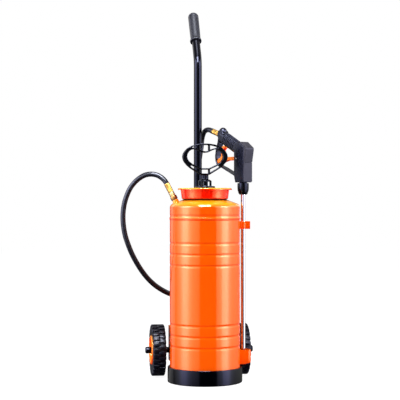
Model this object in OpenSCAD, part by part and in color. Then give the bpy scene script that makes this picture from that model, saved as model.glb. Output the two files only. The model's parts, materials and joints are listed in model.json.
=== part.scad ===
// Wheeled compression sprayer: steel tank in a boot, two-wheel axle, push pole,
// pump with a D handle, and a hose to a trigger gun with a steel lance.
// X is to the right, Y to the back, Z up. The origin is the tank axis at the floor.

/* [Tank] */
// Outer radius of the tank wall
tank_r = 100; // [99:0.5:101]
// Thickness of the tank's steel
tank_t = 1.5; // [1.2:0.1:2]
// Height of the seam between the wall and the head
seam_z = 459.5; // [456:0.5:464]
// Height of the flat land on top of the head
head_z = 518; // [516:1:520]
// Slope of the head's cone in degrees
head_slope = 20; // [18:1:22]
// Height of the lower group of rolled grooves
groove_low_z = 102.5; // [99:0.5:105]
// Height of the upper group of rolled grooves
groove_high_z = 332; // [325:1:335]
// Distance between two grooves of a group
groove_step = 31; // [29:1:33]
// Depth of a rolled groove
groove_d = 1; // [0.6:0.1:1.4]

/* [Funnel and boot] */
// Outer radius of the funnel above its rounded corner
funnel_r = 66.4; // [62:0.2:68]
// Height of the top of the funnel's lip
funnel_top_z = 550.5; // [548:0.5:553]
// Outer radius of the funnel's lip
lip_r = 77; // [74:0.5:80]
// Outer radius of the boot near the floor
boot_r = 106.5; // [105:0.5:108]
// Height of the boot
boot_h = 43.5; // [41:0.5:44]

/* [Wheels and axle] */
// Radius of a wheel over its lugs
wheel_r = 75; // [73:0.5:76]
// Width of a wheel
wheel_w = 38; // [36:0.5:39]
// Distance of a wheel's middle from the tank axis, sideways
wheel_x = 123.5; // [123:0.5:126]
// Distance of the axle behind the tank axis
axle_y = 116; // [115:0.5:120]
// Height of the axle
axle_z = 77; // [77:0.5:79]
// Radius of the axle
axle_r = 6; // [5.5:0.25:6]
// Lugs in each of the tyre's two rows
lug_count = 28; // [20:1:32]

/* [Push pole] */
// Radius of the pole
pole_r = 12; // [11.5:0.25:12.5]
// Distance of the pole's axis behind the tank axis
pole_y = 147; // [146:0.5:150]
// Height of the corner that the bend rounds
pole_bend_z = 931; // [900:1:950]
// Angle of the bend in degrees
pole_bend = 35; // [30:1:40]
// Radius of the bend at the pole's axis
pole_bend_r = 70; // [60:1:80]
// Length of the leaning part from the corner to the end of the grip
pole_lean = 187; // [180:1:190]
// Length of the hand grip
grip_l = 112; // [105:1:120]
// Outer radius of the hand grip at its end
grip_r = 15.8; // [15:0.1:16.5]

/* [Pump] */
// Stroke of the pump
pump_stroke = 250; // [200:5:255]
// Outer radius of the pump's barrel
barrel_r = 19; // [18:0.25:19]
// Radius of the pump's rod
rod_r = 5; // [4.5:0.25:5]
// Width of the D handle
handle_w = 128.6; // [120:0.2:130]
// Depth of the D handle from front to back
handle_d = 22; // [16:1:26]
// Radius of the cap's flange
cap_r = 29; // [28:0.5:31]

/* [Lance and gun] */
// Distance of the lance from the tank axis
lance_x = 110.5; // [110.25:0.25:112.5]
// Outer radius of the lance
lance_r = 6.5; // [6:0.1:6.5]
// How far the gun's grip is turned to the back, in degrees
gun_yaw = 58; // [54:1:62]
// Height of the underside of the gun's body
gun_z = 567; // [565:1:568]
// Half thickness of the gun's body
gun_half = 16; // [15:0.5:16]
// Angle that the trigger turns through, in degrees
trigger_travel = 10; // [6:1:10]

/* [Hose] */
// Outer radius of the hose
hose_r = 7.5; // [7:0.1:7.7]

/* [Hidden] */

orange = "darkorange";
dark = "#26262a";
seat = 0.05;       // play between two fixed round pieces that fit together
run = 0.06;        // running play round a pin, a rod or a shaft
gap = 0.3;         // room between pieces that move past each other
$fn = 64;

// Points on an arc about [cx, cy], from angle a0 to a1
function arc(cx, cy, r, a0, a1, n = 8) =
  [for (i = [0:n]) let (a = a0 + (a1 - a0) * i / n) [cx + r * cos(a), cy + r * sin(a)]];

// A half outline that starts and ends on the middle line, with its mirrored half
function both_sides(pts) =
  concat(pts, [for (i = [len(pts) - 1:-1:0]) if (pts[i][0] > 0.01) [-pts[i][0], pts[i][1]]]);

// A ring or tube from z0 to z1
module tube(ro, ri, z0, z1) {
  translate([0, 0, z0])
    difference() {
      cylinder(r = ro, h = z1 - z0);
      translate([0, 0, -1]) cylinder(r = ri, h = z1 - z0 + 2);
    }
}

// A rectangle with round corners, built from circles so that its corners stay true arcs
module round_rect(x0, y0, x1, y1, r) {
  translate([x0 + r, y0]) square([x1 - x0 - 2 * r, y1 - y0]);
  translate([x0, y0 + r]) square([x1 - x0, y1 - y0 - 2 * r]);
  for (x = [x0 + r, x1 - r], y = [y0 + r, y1 - r]) translate([x, y]) circle(r = r, $fn = 32);
}

// ---- tank ----
knuckle_r = 14;
land_z = head_z - tank_t;
cone_top_a = 90 - head_slope;
foot_z = 4;                        // the boot's floor, which the wall stands on
groove_half = 8;
bead_h = 12;                       // height of the bead that covers the seam
bead_out = 1.5;                    // how far the bead stands out
bead_r = (bead_h * bead_h / 4 + bead_out * bead_out) / (2 * bead_out);
line_z = seam_z + 15.5;            // a fine rolled line above the bead
line_d = 0.8;
neck_ri = 24;
neck_ro = 28;
neck_top_z = 543;
outlet_az = 160;                   // direction of the outlet round the tank
outlet_lean = 27.9;                // its lean from the vertical
outlet_base_r = 81.3;
outlet_base_z = 505;
outlet_end = 66;                   // the hose leaves the ferrule this far along the outlet
dip_x = -74;
dip_y = 27;
dip_top_z = 482;
outlet_dir = [sin(outlet_lean) * cos(outlet_az), sin(outlet_lean) * sin(outlet_az), cos(outlet_lean)];
outlet_base = [outlet_base_r * cos(outlet_az), outlet_base_r * sin(outlet_az), outlet_base_z];

// The wall's line at radius r, upwards, with its two groups of grooves
function wall_line(r) =
  concat([[r, foot_z]],
    [for (z0 = [groove_low_z, groove_high_z], i = [0:2], k = [-4:4])
      [r - groove_d * (1 + cos(k * 45)) / 2, z0 + i * groove_step + k * groove_half / 4]],
    [[r, seam_z]]);

module tank_wall() {
  outer = wall_line(tank_r);
  inner = wall_line(tank_r - tank_t);
  color(orange)
    rotate_extrude($fn = 128)
      polygon(concat(outer, [for (i = [len(inner) - 1:-1:0]) inner[i]]));
}

module tank_bottom() {
  dish_r = 250;
  low_z = 6;
  rim_r = tank_r - tank_t - seat;
  edge = asin(88 / dish_r);
  color("dimgray")
    rotate_extrude($fn = 128)
      polygon(concat(
        arc(0, low_z + dish_r, dish_r, -90, -90 + edge, 6), [[rim_r, 30], [rim_r, 42]],
        [[rim_r - tank_t, 42], [rim_r - tank_t, 31]],
        arc(0, low_z + dish_r, dish_r - tank_t, -90 + edge, -90, 6)));
}

// Outer line of the head's section, drawn in by t
function head_line(t) =
  let (ka = arc(tank_r - knuckle_r, 494, knuckle_r - t, 0, cone_top_a, 6), k = ka[6],
    top = head_z - t, cone_r = k[0] - (top - k[1]) / tan(head_slope))
  concat([[tank_r - t, seam_z]],
    [for (k = [-4:4]) [tank_r - t - line_d * (1 + cos(k * 45)) / 2, line_z + k * 0.8]],
    ka, [[cone_r, top], [neck_ri, top]]);

module tank_head() {
  outer = head_line(0);
  inner = head_line(tank_t);
  color(orange)
    difference() {
      rotate_extrude($fn = 128) {
        polygon(concat(outer, [for (i = [len(inner) - 1:-1:0]) inner[i]]));
        intersection() {
          translate([tank_r + bead_out - bead_r, seam_z + bead_h / 2]) circle(r = bead_r);
          translate([tank_r - tank_t / 2, seam_z]) square([bead_h, bead_h]);
        }
      }
      at_outlet(-12) cylinder(r = 9 + seat, h = 40);
    }
}

module neck_ring() {
  color(orange) tube(neck_ro, neck_ri, head_z, neck_top_z);
}

module funnel() {
  t = tank_t;
  corner = 6;
  floor_r = funnel_r - corner;
  top_r = 69.6;
  lip_z = funnel_top_z;
  skirt = 5;                       // the lip's edge is turned down this far
  color(orange)
    rotate_extrude($fn = 128)
      polygon(concat(
        [[neck_ro + seat, head_z], [floor_r, head_z]],
        arc(floor_r, head_z + corner, corner, -80, 0, 8),
        [[top_r - 0.6, lip_z - t - 2], [top_r + 1.4, lip_z - t], [lip_r - 3, lip_z - t]],
        [[lip_r - t, lip_z - t - 1.5], [lip_r - t, lip_z - skirt], [lip_r, lip_z - skirt]],
        arc(lip_r - 2.5, lip_z - 2.5, 2.5, 0, 90, 4),
        [[top_r - 0.6, lip_z], [top_r - 2.4, lip_z - 1.8]],
        arc(floor_r, head_z + corner, corner - t, 0, -90, 8),
        [[neck_ro + seat, head_z + t]]));
}

module boot() {
  r = 2.5;
  color(dark)
    rotate_extrude($fn = 128)
      polygon(concat(
        [[0, 0]], arc(boot_r - r, r, r, -90, 0, 6),
        arc(boot_r - 2, boot_h - 1, 1, 0, 90, 4),
        [[tank_r + seat, boot_h], [tank_r + seat, foot_z], [0, foot_z]]));
}

module at_outlet(s) {
  translate(outlet_base + s * outlet_dir) rotate([0, outlet_lean, outlet_az]) children();
}

// Hexagonal prism measured across its flats
module hex(flats, h) {
  cylinder(r = flats / 2 / cos(30), h = h, $fn = 6);
}

module outlet_boss() {
  color(orange) {
    at_outlet(-8) cylinder(r = 9, h = 21);
    translate([dip_x, dip_y, dip_top_z]) cylinder(r = 6, h = 18);
  }
}

module outlet_nut() {
  color("goldenrod")
    at_outlet(13)
      difference() {
        union() {
          cylinder(r = 7.2, h = 2);
          translate([0, 0, 2]) hex(17.5, 10.5);
          translate([0, 0, 12.5]) cylinder(r = 7.6, h = 1.5);
        }
        translate([0, 0, -1]) cylinder(r = 4, h = 20);
      }
}

module hose_coupling() {
  color("khaki")
    at_outlet(27)
      rotate_extrude()
        polygon([[3.5, 0], [7.4, 0], [8.2, 1.5], [8.2, 9.5], [7.2, 11.5], [3.5, 11.5]]);
}

// Crimped ferrule of a given length: rolled grooves press it onto the hose
module ferrule(l, r) {
  difference() {
    cylinder(r = r, h = l);
    for (i = [1:3])
      translate([0, 0, l * i / 4])
        rotate_extrude() translate([r + 1.2, 0]) circle(r = 2, $fn = 24);
    translate([0, 0, -1]) cylinder(r = 3.5, h = l + 2);
  }
}

module tank_ferrule() {
  color("gold") at_outlet(38.5) ferrule(outlet_end - 38.5, hose_r + 0.6);
}

module dip_tube() {
  color("whitesmoke") translate([dip_x, dip_y, 0]) tube(5.5, 3.8, 44, dip_top_z);
}

module dip_filter() {
  color("gainsboro")
    translate([dip_x, dip_y, 26])
      difference() {
        cylinder(r = 8.5, h = 18);
        for (a = [0:45:315])
          rotate(a) translate([6.8, -1.25, 3]) cube([3, 2.5, 12]);
      }
}

// ---- axle bracket, pole and grip ----
bracket_half = 89.5;                 // half width over the side plates
plate_t = 3;
bracket_z0 = 46;
bracket_z1 = 148;
plate_front_y = 42;              // the side plates reach forward to here, onto the tank
web_y = pole_y - pole_r - plate_t;
bolt_z = [68, 136];
bolt_r = 4;

module axle_bracket() {
  color(orange)
    difference() {
      union() {
        translate([-bracket_half, web_y, bracket_z0])
          cube([2 * bracket_half, plate_t, bracket_z1 - bracket_z0]);
        for (s = [-1, 1]) side_plate(s);
      }
      rotate([0, 90, 0]) translate([-axle_z, axle_y, -120]) cylinder(r = axle_r + seat, h = 240);
      for (z = bolt_z)
        translate([0, web_y - 1, z]) rotate([-90, 0, 0]) cylinder(r = bolt_r + seat, h = 6);
      cylinder(r = tank_r + seat, h = 200, $fn = 128);
    }
}

// Side plate with its front corners cut back, as folded from the web's sheet
module side_plate(s) {
  cut = 34;
  x = s > 0 ? bracket_half - plate_t : -bracket_half;
  translate([x, 0, 0])
    rotate([90, 0, 90])
      linear_extrude(plate_t)
        polygon([[plate_front_y, bracket_z0 + 8], [plate_front_y + 8, bracket_z0],
          [web_y + 0.5, bracket_z0], [web_y + 0.5, bracket_z1],
          [plate_front_y + cut, bracket_z1], [plate_front_y, bracket_z1 - cut]]);
}

standoff_z = 434;
standoff_h = 24;

module standoff_plan() {
  difference() {
    union() {
      translate([0, pole_y]) circle(r = pole_r + 3);
      translate([-8, tank_r - 2]) square([16, pole_y - tank_r - 4]);
      translate([-26, tank_r - 6]) square([52, 9]);
    }
    translate([0, pole_y]) circle(r = pole_r + seat);
    circle(r = tank_r + seat, $fn = 128);
  }
}

module pole_standoff() {
  color(orange) translate([0, 0, standoff_z]) linear_extrude(standoff_h) standoff_plan();
}

pole_t = 1.5;
pole_foot_z = 50;
bend_run = pole_bend_r * tan(pole_bend / 2);
bend_start_z = pole_bend_z - bend_run;
lean_dir = [0, sin(pole_bend), cos(pole_bend)];
pole_end = pole_lean - 16;         // the tube stops inside the grip's dome

module on_lean(s) {
  translate([0, pole_y, pole_bend_z] + s * lean_dir) rotate([-pole_bend, 0, 0]) children();
}

// The straight parts reach a little into the bend, whose wall is a hair thicker
module pole() {
  bore_r = pole_r - pole_t;
  lap = 0.4;
  hair = 0.1;
  color(dark) {
    difference() {
      translate([0, pole_y, 0]) tube(pole_r, bore_r, pole_foot_z, bend_start_z + lap);
      for (z = bolt_z)
        translate([0, pole_y - 20, z]) rotate([-90, 0, 0]) cylinder(r = bolt_r + seat, h = 40);
    }
    translate([0, pole_y + pole_bend_r, bend_start_z])
      rotate([90, 0, -90])
        rotate_extrude(angle = pole_bend, $fn = 96)
          translate([pole_bend_r, 0])
            difference() {
              circle(r = pole_r + hair, $fn = 48);
              circle(r = bore_r - hair, $fn = 48);
            }
    on_lean(bend_run) tube(pole_r, bore_r, -lap, pole_end - bend_run);
  }
}

module pole_plug() {
  color("black")
    translate([0, pole_y, pole_foot_z]) {
      translate([0, 0, -3]) cylinder(r = pole_r - 0.5, h = 3);
      cylinder(r = pole_r - pole_t - seat, h = 9);
    }
}

// A bolt with its washer and nut, through the pole and the bracket's web
module pole_bolt(z) {
  y1 = pole_y + pole_r;
  color("silver")
    translate([0, 0, z])
      rotate([-90, 0, 0]) {
        translate([0, 0, web_y - 9]) cylinder(r = bolt_r, h = y1 - web_y + 10);
        translate([0, 0, y1 + 0.2]) cylinder(r = 8, h = 1.4);
        translate([0, 0, y1 + 1.6]) hex(13, 5);
        translate([0, 0, web_y - 7]) hex(13, 6.8);
      }
}

module pole_grip() {
  mouth = pole_lean - grip_l;
  bore = pole_r + seat;
  dome = 12;
  color("#3a3a3e")
    on_lean(mouth)
      rotate_extrude()
        polygon(concat(
          [[bore, 0], [17, 0], [17.4, 1.5], [17.2, 5], [15.6, 9], [15, 14]],
          [[grip_r, grip_l - 26]],
          arc(grip_r - dome, grip_l - dome, dome, 0, 90, 8),
          [[0, grip_l], [0, grip_l - 16], [bore, grip_l - 16]]));
}

// ---- axle and wheels ----
hub_r = 42.4;
bush_r = 8.5;
half_w = wheel_w / 2;
inner_x = wheel_x - half_w;
outer_x = wheel_x + half_w;
cap_l = 16.5;
axle_half = outer_x + 9;

module axle() {
  color("silver")
    translate([-axle_half, axle_y, axle_z]) rotate([0, 90, 0]) cylinder(r = axle_r, h = 2 * axle_half);
}

// Puts a wheel-side piece on the axle line, with its own Z pointing outwards
module on_axle(s) {
  translate([0, axle_y, axle_z]) rotate([0, s * 90, 0]) children();
}

module spacer(s) {
  color("black") on_axle(s) tube(8.6, axle_r + seat, bracket_half, inner_x - gap);
}

module axle_cap(s) {
  z0 = outer_x + gap;
  color("black")
    on_axle(s)
      rotate_extrude()
        polygon([[axle_r + seat, z0], [9.8, z0], [9.8, z0 + cap_l - 3], [7.5, z0 + cap_l],
          [0, z0 + cap_l], [0, axle_half + seat], [axle_r + seat, axle_half + seat]]);
}

module tyre(s) {
  rim = hub_r + 0.1;
  color("#1c1c1e")
    on_axle(s)
      translate([0, 0, wheel_x]) {
        rotate_extrude($fn = 96)
          polygon([[rim, -13], [46, -14.5], [54, -16], [62, -17], [67, -17.3], [70, -16], [71, -8],
            [71, 8], [70, 16], [67, 17.3], [62, 17], [54, 16], [46, 14.5], [rim, 13]]);
        intersection() {
          for (side = [-1, 1], i = [0:lug_count - 1])
            rotate((i + (side > 0 ? 0.5 : 0)) * 360 / lug_count) lug(side);
          rotate_extrude($fn = 96)
            polygon([[60, -17.2], [66, -18.8], [72, -18.8], [wheel_r, -16.5],
              [wheel_r, 16.5], [72, 18.8], [66, 18.8], [60, 17.2]]);
        }
      }
}

// One lug: wider at the shoulder than at the middle of the tread
module lug(side) {
  w_mid = 7;
  w_edge = 10.6;
  translate([66, 0, 0])
    rotate([90, 0, 90])
      linear_extrude(wheel_r - 66)
        polygon([[-w_mid / 2, side * -2.5], [w_mid / 2, side * -2.5],
          [w_edge / 2, side * half_w], [-w_edge / 2, side * half_w]]);
}

module hub(s) {
  color(orange)
    on_axle(s)
      translate([0, 0, wheel_x])
        difference() {
          rotate_extrude($fn = 96)
            polygon([[bush_r + seat, -half_w + 0.5], [13.5, -half_w + 0.5], [14.5, -5], [34, -5],
              [38, -14], [hub_r, -14], [hub_r, 17], [41.6, 20], [39.4, 21.5], [37, 20.6],
              [34.6, 14], [32, 11.4], [28.4, 12.6], [24.6, 8.5], [20, 7], [14, 7],
              [13.2, half_w - 3], [bush_r + seat, half_w - 3]]);
          for (a = [0:60:300])
            rotate(a) translate([20, 0, -16]) cylinder(r = 3.4, h = 40, $fn = 24);
        }
}

module bush(s) {
  color("black")
    on_axle(s) {
      tube(bush_r, axle_r + run, inner_x, outer_x - 3);
      tube(11, axle_r + run, outer_x - 3, outer_x);
    }
}

// ---- lance holders ----
nozzle_z0 = 50.8;                  // underside of the nozzle, just above the pocket's ledge
module lance_clip() {
  z0 = 434;
  h = 22;
  ri = lance_r + gap;
  ro = ri + 2.2;
  foot_x = lance_x - 7.4;
  tip_x = lance_x + 18.5;
  foot_a = acos((lance_x - foot_x) / ro);
  lower = concat([[tank_r - 3, -12], [foot_x, -12]], arc(lance_x, 0, ro, 180 + foot_a, 302, 8),
    [[tip_x, -11.6], [tip_x, -9.2], [lance_x + 6.3, -5]], arc(lance_x, 0, ri, 318, 180, 10));
  upper = [for (i = [len(lower) - 2:-1:0]) [lower[i][0], -lower[i][1]]];
  color(orange)
    translate([0, 0, z0])
      linear_extrude(h)
        difference() {
          polygon(concat(lower, upper));
          circle(r = tank_r + seat, $fn = 128);
        }
}

// The pocket: a folded strap open at the top and the bottom, its lower edge sloping
module lance_pocket() {
  z0 = 49;
  h = 40;
  half = 17;
  t = 2.2;
  far = 131;
  color(orange)
    difference() {
      translate([0, 0, z0])
        linear_extrude(h)
          difference() {
            round_rect(tank_r - 10, -half, far, half, 9);
            round_rect(tank_r - 14, -half + t, far - t, half - t, 9 - t);
            circle(r = tank_r + seat, $fn = 128);
          }
      translate([tank_r - 12, -half - 1, z0])
        rotate([-90, 0, 0])
          linear_extrude(2 * half + 2)
            polygon([[20, 1], [60, 1], [60, -7], [43, -5]]);
    }
  color(orange)
    translate([0, 0, z0])
      linear_extrude(nozzle_z0 - gap - z0)
        difference() {
          translate([tank_r - 2, -half + t / 2]) square([9, 2 * half - t]);
          circle(r = tank_r + seat, $fn = 128);
        }
}

// ---- pump ----
flange_z0 = neck_top_z + 2.8;
flange_z1 = 556;
crown_z0 = 569;
crown_z1 = 575;
barrel_z0 = 204;
barrel_ri = barrel_r - 1.5;
stem_z0 = crown_z1 + gap;
handle_z0 = 588.5;
rod_top_z = 590.5;
pin_z = 583;
piston_z = 222;

module cap_gasket() {
  color("black") tube(neck_ro - 0.3, neck_ri + 0.4, neck_top_z, flange_z0);
}

module pump_cap() {
  bore = rod_r + run;
  thread_r = neck_ri - gap;
  post_w = 12.6;
  color(dark) {
    rotate_extrude()
      polygon([[barrel_r + seat, 524], [thread_r - 1, 524], [thread_r, 525], [thread_r, flange_z0],
        [cap_r, flange_z0], [cap_r, flange_z1 - 1.5], [cap_r - 1.5, flange_z1],
        [bore, flange_z1], [bore, flange_z0], [barrel_r + seat, flange_z0]]);
    translate([0, 0, flange_z1 - 0.5])
      linear_extrude(crown_z0 - flange_z1 + 1)
        for (a = [0:90:270])
          rotate(a)
            intersection() {
              circle(r = 19);
              translate([13.5, -post_w / 2]) square([8, post_w]);
            }
    rotate_extrude()
      polygon([[bore, crown_z0], [19, crown_z0], [19, crown_z0 + 2.4], [12.5, crown_z1], [bore, crown_z1]]);
  }
}

module pump_barrel() {
  color("gainsboro")
    difference() {
      union() {
        tube(barrel_r, barrel_ri, barrel_z0, flange_z0);
        translate([0, 0, barrel_z0]) cylinder(r = barrel_ri + 0.5, h = 3);
      }
      translate([0, 0, barrel_z0 - 1]) cylinder(r = 2.1, h = 6);
      for (a = [0:60:300])
        rotate(a) translate([7.5, 0, barrel_z0 - 1]) cylinder(r = 2, h = 6);
    }
}

module foot_valve() {
  color("black")
    translate([0, 0, barrel_z0]) {
      translate([0, 0, -2]) cylinder(r = 12, h = 2);
      translate([0, 0, -1]) cylinder(r = 2, h = 7);
      translate([0, 0, 3]) cylinder(r1 = 3.4, r2 = 2, h = 3);
    }
}

// Half outlines of the D handle, from the top middle round to the bottom middle
handle_half = handle_w / 2;
handle_outer = [[0, 677], [12.7, 676.6], [26, 674.6], [38, 670.8], [50, 664], [58, 655.6], [62.6, 648],
  [handle_half, 640], [62.8, 632], [59, 624], [51, 614.6], [42, 607], [12, handle_z0], [0, handle_z0]];
handle_hole = [[0, 651.4], [8, 652.4], [19, 657.6], [29, 661.4], [38, 660.6], [46, 655.4], [51, 647.6],
  [52.4, 640], [50.6, 632.6], [45.6, 625.6], [37, 618.6], [12, 606.8], [0, 606.8]];
rib = 3.2;                         // thickness of the handle's ribs
rib_x = 11.8;                       // place of the upright ribs

module pump_handle() {
  color(dark)
    difference() {
      union() {
        rotate([90, 0, 0])
          linear_extrude(handle_d, center = true)
            difference() {
              polygon(both_sides(handle_outer));
              polygon(both_sides(handle_hole));
              polygon([[-rib_x + rib / 2, 673.5], [rib_x - rib / 2, 673.5],
                [rib_x - rib / 2, 656.4], [0, 655], [-rib_x + rib / 2, 656.4]]);
              polygon([[-rib_x + rib / 2, 592], [rib_x - rib / 2, 592],
                [rib_x - rib / 2, 603.4], [-rib_x + rib / 2, 603.4]]);
              for (s = [-1, 1]) {
                polygon([[s * (rib_x + rib / 2), 673.4], [s * 25, 671.2], [s * 36, 668],
                  [s * 40, 665.6], [s * 29, 664.8], [s * 18, 661.2], [s * (rib_x + rib / 2), 658.6]]);
                polygon([[s * (rib_x + rib / 2), 593.6], [s * 40, 609.6], [s * 43, 613.4],
                  [s * 38, 615.2], [s * 16, 605], [s * (rib_x + rib / 2), 604.2]]);
              }
            }
        difference() {
          translate([0, 0, stem_z0]) cylinder(r = 10, h = handle_z0 + 2 - stem_z0);
          for (a = [22.5:45:340])
            rotate(a) translate([10.9, 0, stem_z0 + 2]) cylinder(r = 2, h = 10);
        }
        translate([0, 0, handle_z0]) cylinder(r = 11, h = 3);
      }
      translate([0, 0, stem_z0 - 1]) cylinder(r = rod_r + seat, h = rod_top_z - stem_z0 + 1);
      rotate([0, 90, 0]) translate([-pin_z, 0, -12]) cylinder(r = 1.65, h = 24);
    }
}

module handle_pin() {
  color("silver") rotate([0, 90, 0]) translate([-pin_z, 0, -9.4]) cylinder(r = 1.6, h = 18.8);
}

module pump_rod() {
  color("silver")
    difference() {
      translate([0, 0, piston_z - 6]) cylinder(r = rod_r, h = rod_top_z - piston_z + 6);
      rotate([0, 90, 0]) translate([-pin_z, 0, -12]) cylinder(r = 1.65, h = 24);
    }
}

module piston() {
  color("whitesmoke")
    translate([0, 0, piston_z])
      rotate_extrude()
        polygon([[rod_r + seat, 4], [barrel_ri - gap, 4], [barrel_ri - gap, 10], [9, 13],
          [9, 20], [rod_r + seat, 20]]);
}

module piston_cup() {
  color("black")
    translate([0, 0, piston_z])
      rotate_extrude()
        polygon([[rod_r + seat, 0], [barrel_ri - run, -4], [barrel_ri - run, 2], [15, 4],
          [rod_r + seat, 4]]);
}

// ---- gun and lance ----
// The gun is drawn from the lance's axis: u towards the grip's end, v across, z as the cart's
module on_gun() {
  translate([lance_x, 0, 0]) rotate(180 - gun_yaw) children();
}

// Extrudes a u, z outline across the gun, from v = -half to half
module across(half) {
  rotate([90, 0, 0]) linear_extrude(2 * half, center = true) children();
}

function gun_point(u, z) = [lance_x - u * cos(gun_yaw), u * sin(gun_yaw), z];

back_u = -19;
front_u = 22.4;
gun_top_z = 681;
pivot = [14, 636];                 // the trigger's pin
pivot_r = 2;
grip_root = [10, 660];
grip_end = [92, 703];
grip_tilt = atan2(grip_end[1] - grip_root[1], grip_end[0] - grip_root[0]);
grip_len = norm(grip_end - grip_root);
grip_deep = 34;
grip_wide = 28;
guard_t = 3.4;
guard_half = 11;
guard_line = [[18, 584], [80, 611], [93.5, 615.5], [103, 621.5], [108.4, 632], [109.2, 646], [107.3, 659],
  [103, 672], [98.5, 686], [95.5, 698]];
lance_z0 = nozzle_z0 + 18;         // lower end of the lance, in the nozzle's socket
spigot_r = 11;
spigot_z = 547;
fitting_tilt = 18;
fitting_root = [94, 706.5];
fitting_end_u = 140;
fitting_len = (fitting_end_u - fitting_root[0]) / cos(fitting_tilt);
fitting_end_z = fitting_root[1] + fitting_len * sin(fitting_tilt);

module along_fitting(s) {
  translate([fitting_root[0] + s * cos(fitting_tilt), 0, fitting_root[1] + s * sin(fitting_tilt)])
    rotate([0, 90 - fitting_tilt, 0]) children();
}

// Outline of the guard's band, seen across the gun: its middle line moved half its thickness each way
module guard_outline() {
  last = len(guard_line) - 1;
  n = [for (i = [0:last])
    let (d = unit(guard_line[min(i + 1, last)] - guard_line[max(i - 1, 0)])) [-d[1], d[0]] * guard_t / 2];
  polygon(concat([for (i = [0:last]) guard_line[i] + n[i]], [for (i = [last:-1:0]) guard_line[i] - n[i]]));
}

// The pistol grip: a long round with grooves for the palm on its upper side
module grip_solid() {
  translate([grip_root[0], 0, grip_root[1]])
    rotate([0, 90 - grip_tilt, 0])
      difference() {
        linear_extrude(grip_len)
          round_rect(-grip_deep / 2, -grip_wide / 2, grip_deep / 2, grip_wide / 2, 12);
        for (i = [0:6])
          translate([-grip_deep / 2 - 6.6, 0, 22 + i * 9])
            rotate([90, 0, 0]) cylinder(r = 8, h = 40, center = true, $fn = 32);
      }
}

module gun_shape() {
  across(gun_half)
    polygon([[back_u, gun_z], [17, gun_z], [front_u, gun_z + 20], [front_u, 657], [31.5, 664],
      [16, gun_top_z - 2], [12, gun_top_z], [-3, gun_top_z], [back_u, 668]]);
  grip_solid();
  across(11.5) translate([87.5, 707.5]) circle(r = 13);
  translate([87.5, 0, 716.5]) sphere(r = 11.5);
  across(guard_half) guard_outline();
  translate([0, 0, spigot_z]) cylinder(r = spigot_r, h = gun_z - spigot_z + 1);
}

module gun_body() {
  slot_half = 6.6;
  color(dark)
    on_gun()
      difference() {
        gun_shape();
        translate([0, 0, spigot_z - 1]) cylinder(r = lance_r + seat, h = 14);
        translate([0, 0, 560]) cylinder(r = 4, h = 12);
        translate([0, 0, 571]) cylinder(r = 7, h = 15);
        translate([0, 0, 585]) cylinder(r = 3.6, h = 5);
        translate([0, 0, 588]) cylinder(r = 7, h = 35);
        across(slot_half) translate([-7, 622]) square([30, 28]);
        across(6.4) polygon([[58, 655], [98, 655], [98, 695], [58, 690]]);
        translate([pivot[0], -20, pivot[1]])
          rotate([-90, 0, 0]) cylinder(r = pivot_r + 0.02, h = 40);
        along_fitting(4) cylinder(r = 8.5, h = 30);
      }
}

module gun_hood() {
  color("#56565e")
    on_gun()
      across(gun_half)
        polygon([[back_u - seat, 624], [back_u - 2.6, 624], [-28.6, 660.5], [-27.6, 665.5],
          [-4, gun_top_z + 2], [8, gun_top_z + 2], [8, gun_top_z + seat],
          [-3.1, gun_top_z + seat], [back_u - seat, 668.2]]);
}

module gun_spine() {
  color("#6a6a72")
    on_gun() across(gun_half) polygon([[back_u - seat, gun_z + 2], [back_u - 2, gun_z + 2],
      [back_u - 2, 623.5], [back_u - seat, 623.5]]);
}

module trigger_pin() {
  color("silver")
    on_gun()
      translate([pivot[0], -gun_half + 0.5, pivot[1]])
        rotate([-90, 0, 0]) cylinder(r = pivot_r, h = 2 * gun_half - 1);
}

// The trigger: a lever in the gun's slot, a wide finger blade and a horn that guides it in the grip
module trigger() {
  color("orangered")
    on_gun()
      difference() {
        union() {
          across(6) {
            translate(pivot) circle(r = 6);
            translate([-3, 629.5]) square([17, 9]);
            translate([pivot[0], 631]) square([62, 10.4]);
          }
          across(8) {
            translate([95.5, 629.8]) circle(r = 8.4);
            polygon([[62, 631.5], [80, 627], [92.5, 622.2], [95.5, 638.1], [80, 641], [62, 641.2]]);
          }
          across(6)
            polygon([[80, 636], [97.5, 636], [92, 641], [88.6, 648], [89.2, 656], [88.8, 664],
              [85, 671.5], [77, 675.3], [71.4, 673], [71.8, 667.6], [77, 666.6], [80, 662.6],
              [80.6, 655], [79.6, 647]]);
        }
        translate([pivot[0], -20, pivot[1]])
          rotate([-90, 0, 0]) cylinder(r = pivot_r + run, h = 40);
      }
}

module valve_stem() {
  color("silver")
    on_gun() {
      translate([0, 0, 580]) cylinder(r = 2.5, h = 49.2);
      translate([0, 0, 580.5]) cylinder(r1 = 3.5, r2 = 5.6, h = 5.2);
      translate([0, 0, 614]) cylinder(r = 5.6, h = 2.5);
    }
}

module valve_spring() {
  color("silver") on_gun() tube(5.4, 3.4, 588, 613.7);
}

module gun_fitting() {
  flats = 16;
  color("gold")
    on_gun() {
      along_fitting(4) difference() {
        union() {
          cylinder(r = 8.4, h = 6);
          translate([0, 0, 6]) hex(flats, 7);
        }
        translate([0, 0, -1]) cylinder(r = 3.5, h = 20);
      }
    }
}

module gun_ferrule() {
  color("gold") on_gun() along_fitting(17) ferrule(fitting_len - 17, hose_r + 0.6);
}

module lance() {
  color("silver") translate([lance_x, 0, 0]) tube(lance_r, 4.6, lance_z0, 559.5);
}

module lance_seal() {
  color("black") translate([lance_x, 0, 0]) tube(10.6, lance_r + seat, 543.8, spigot_z);
}

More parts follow.
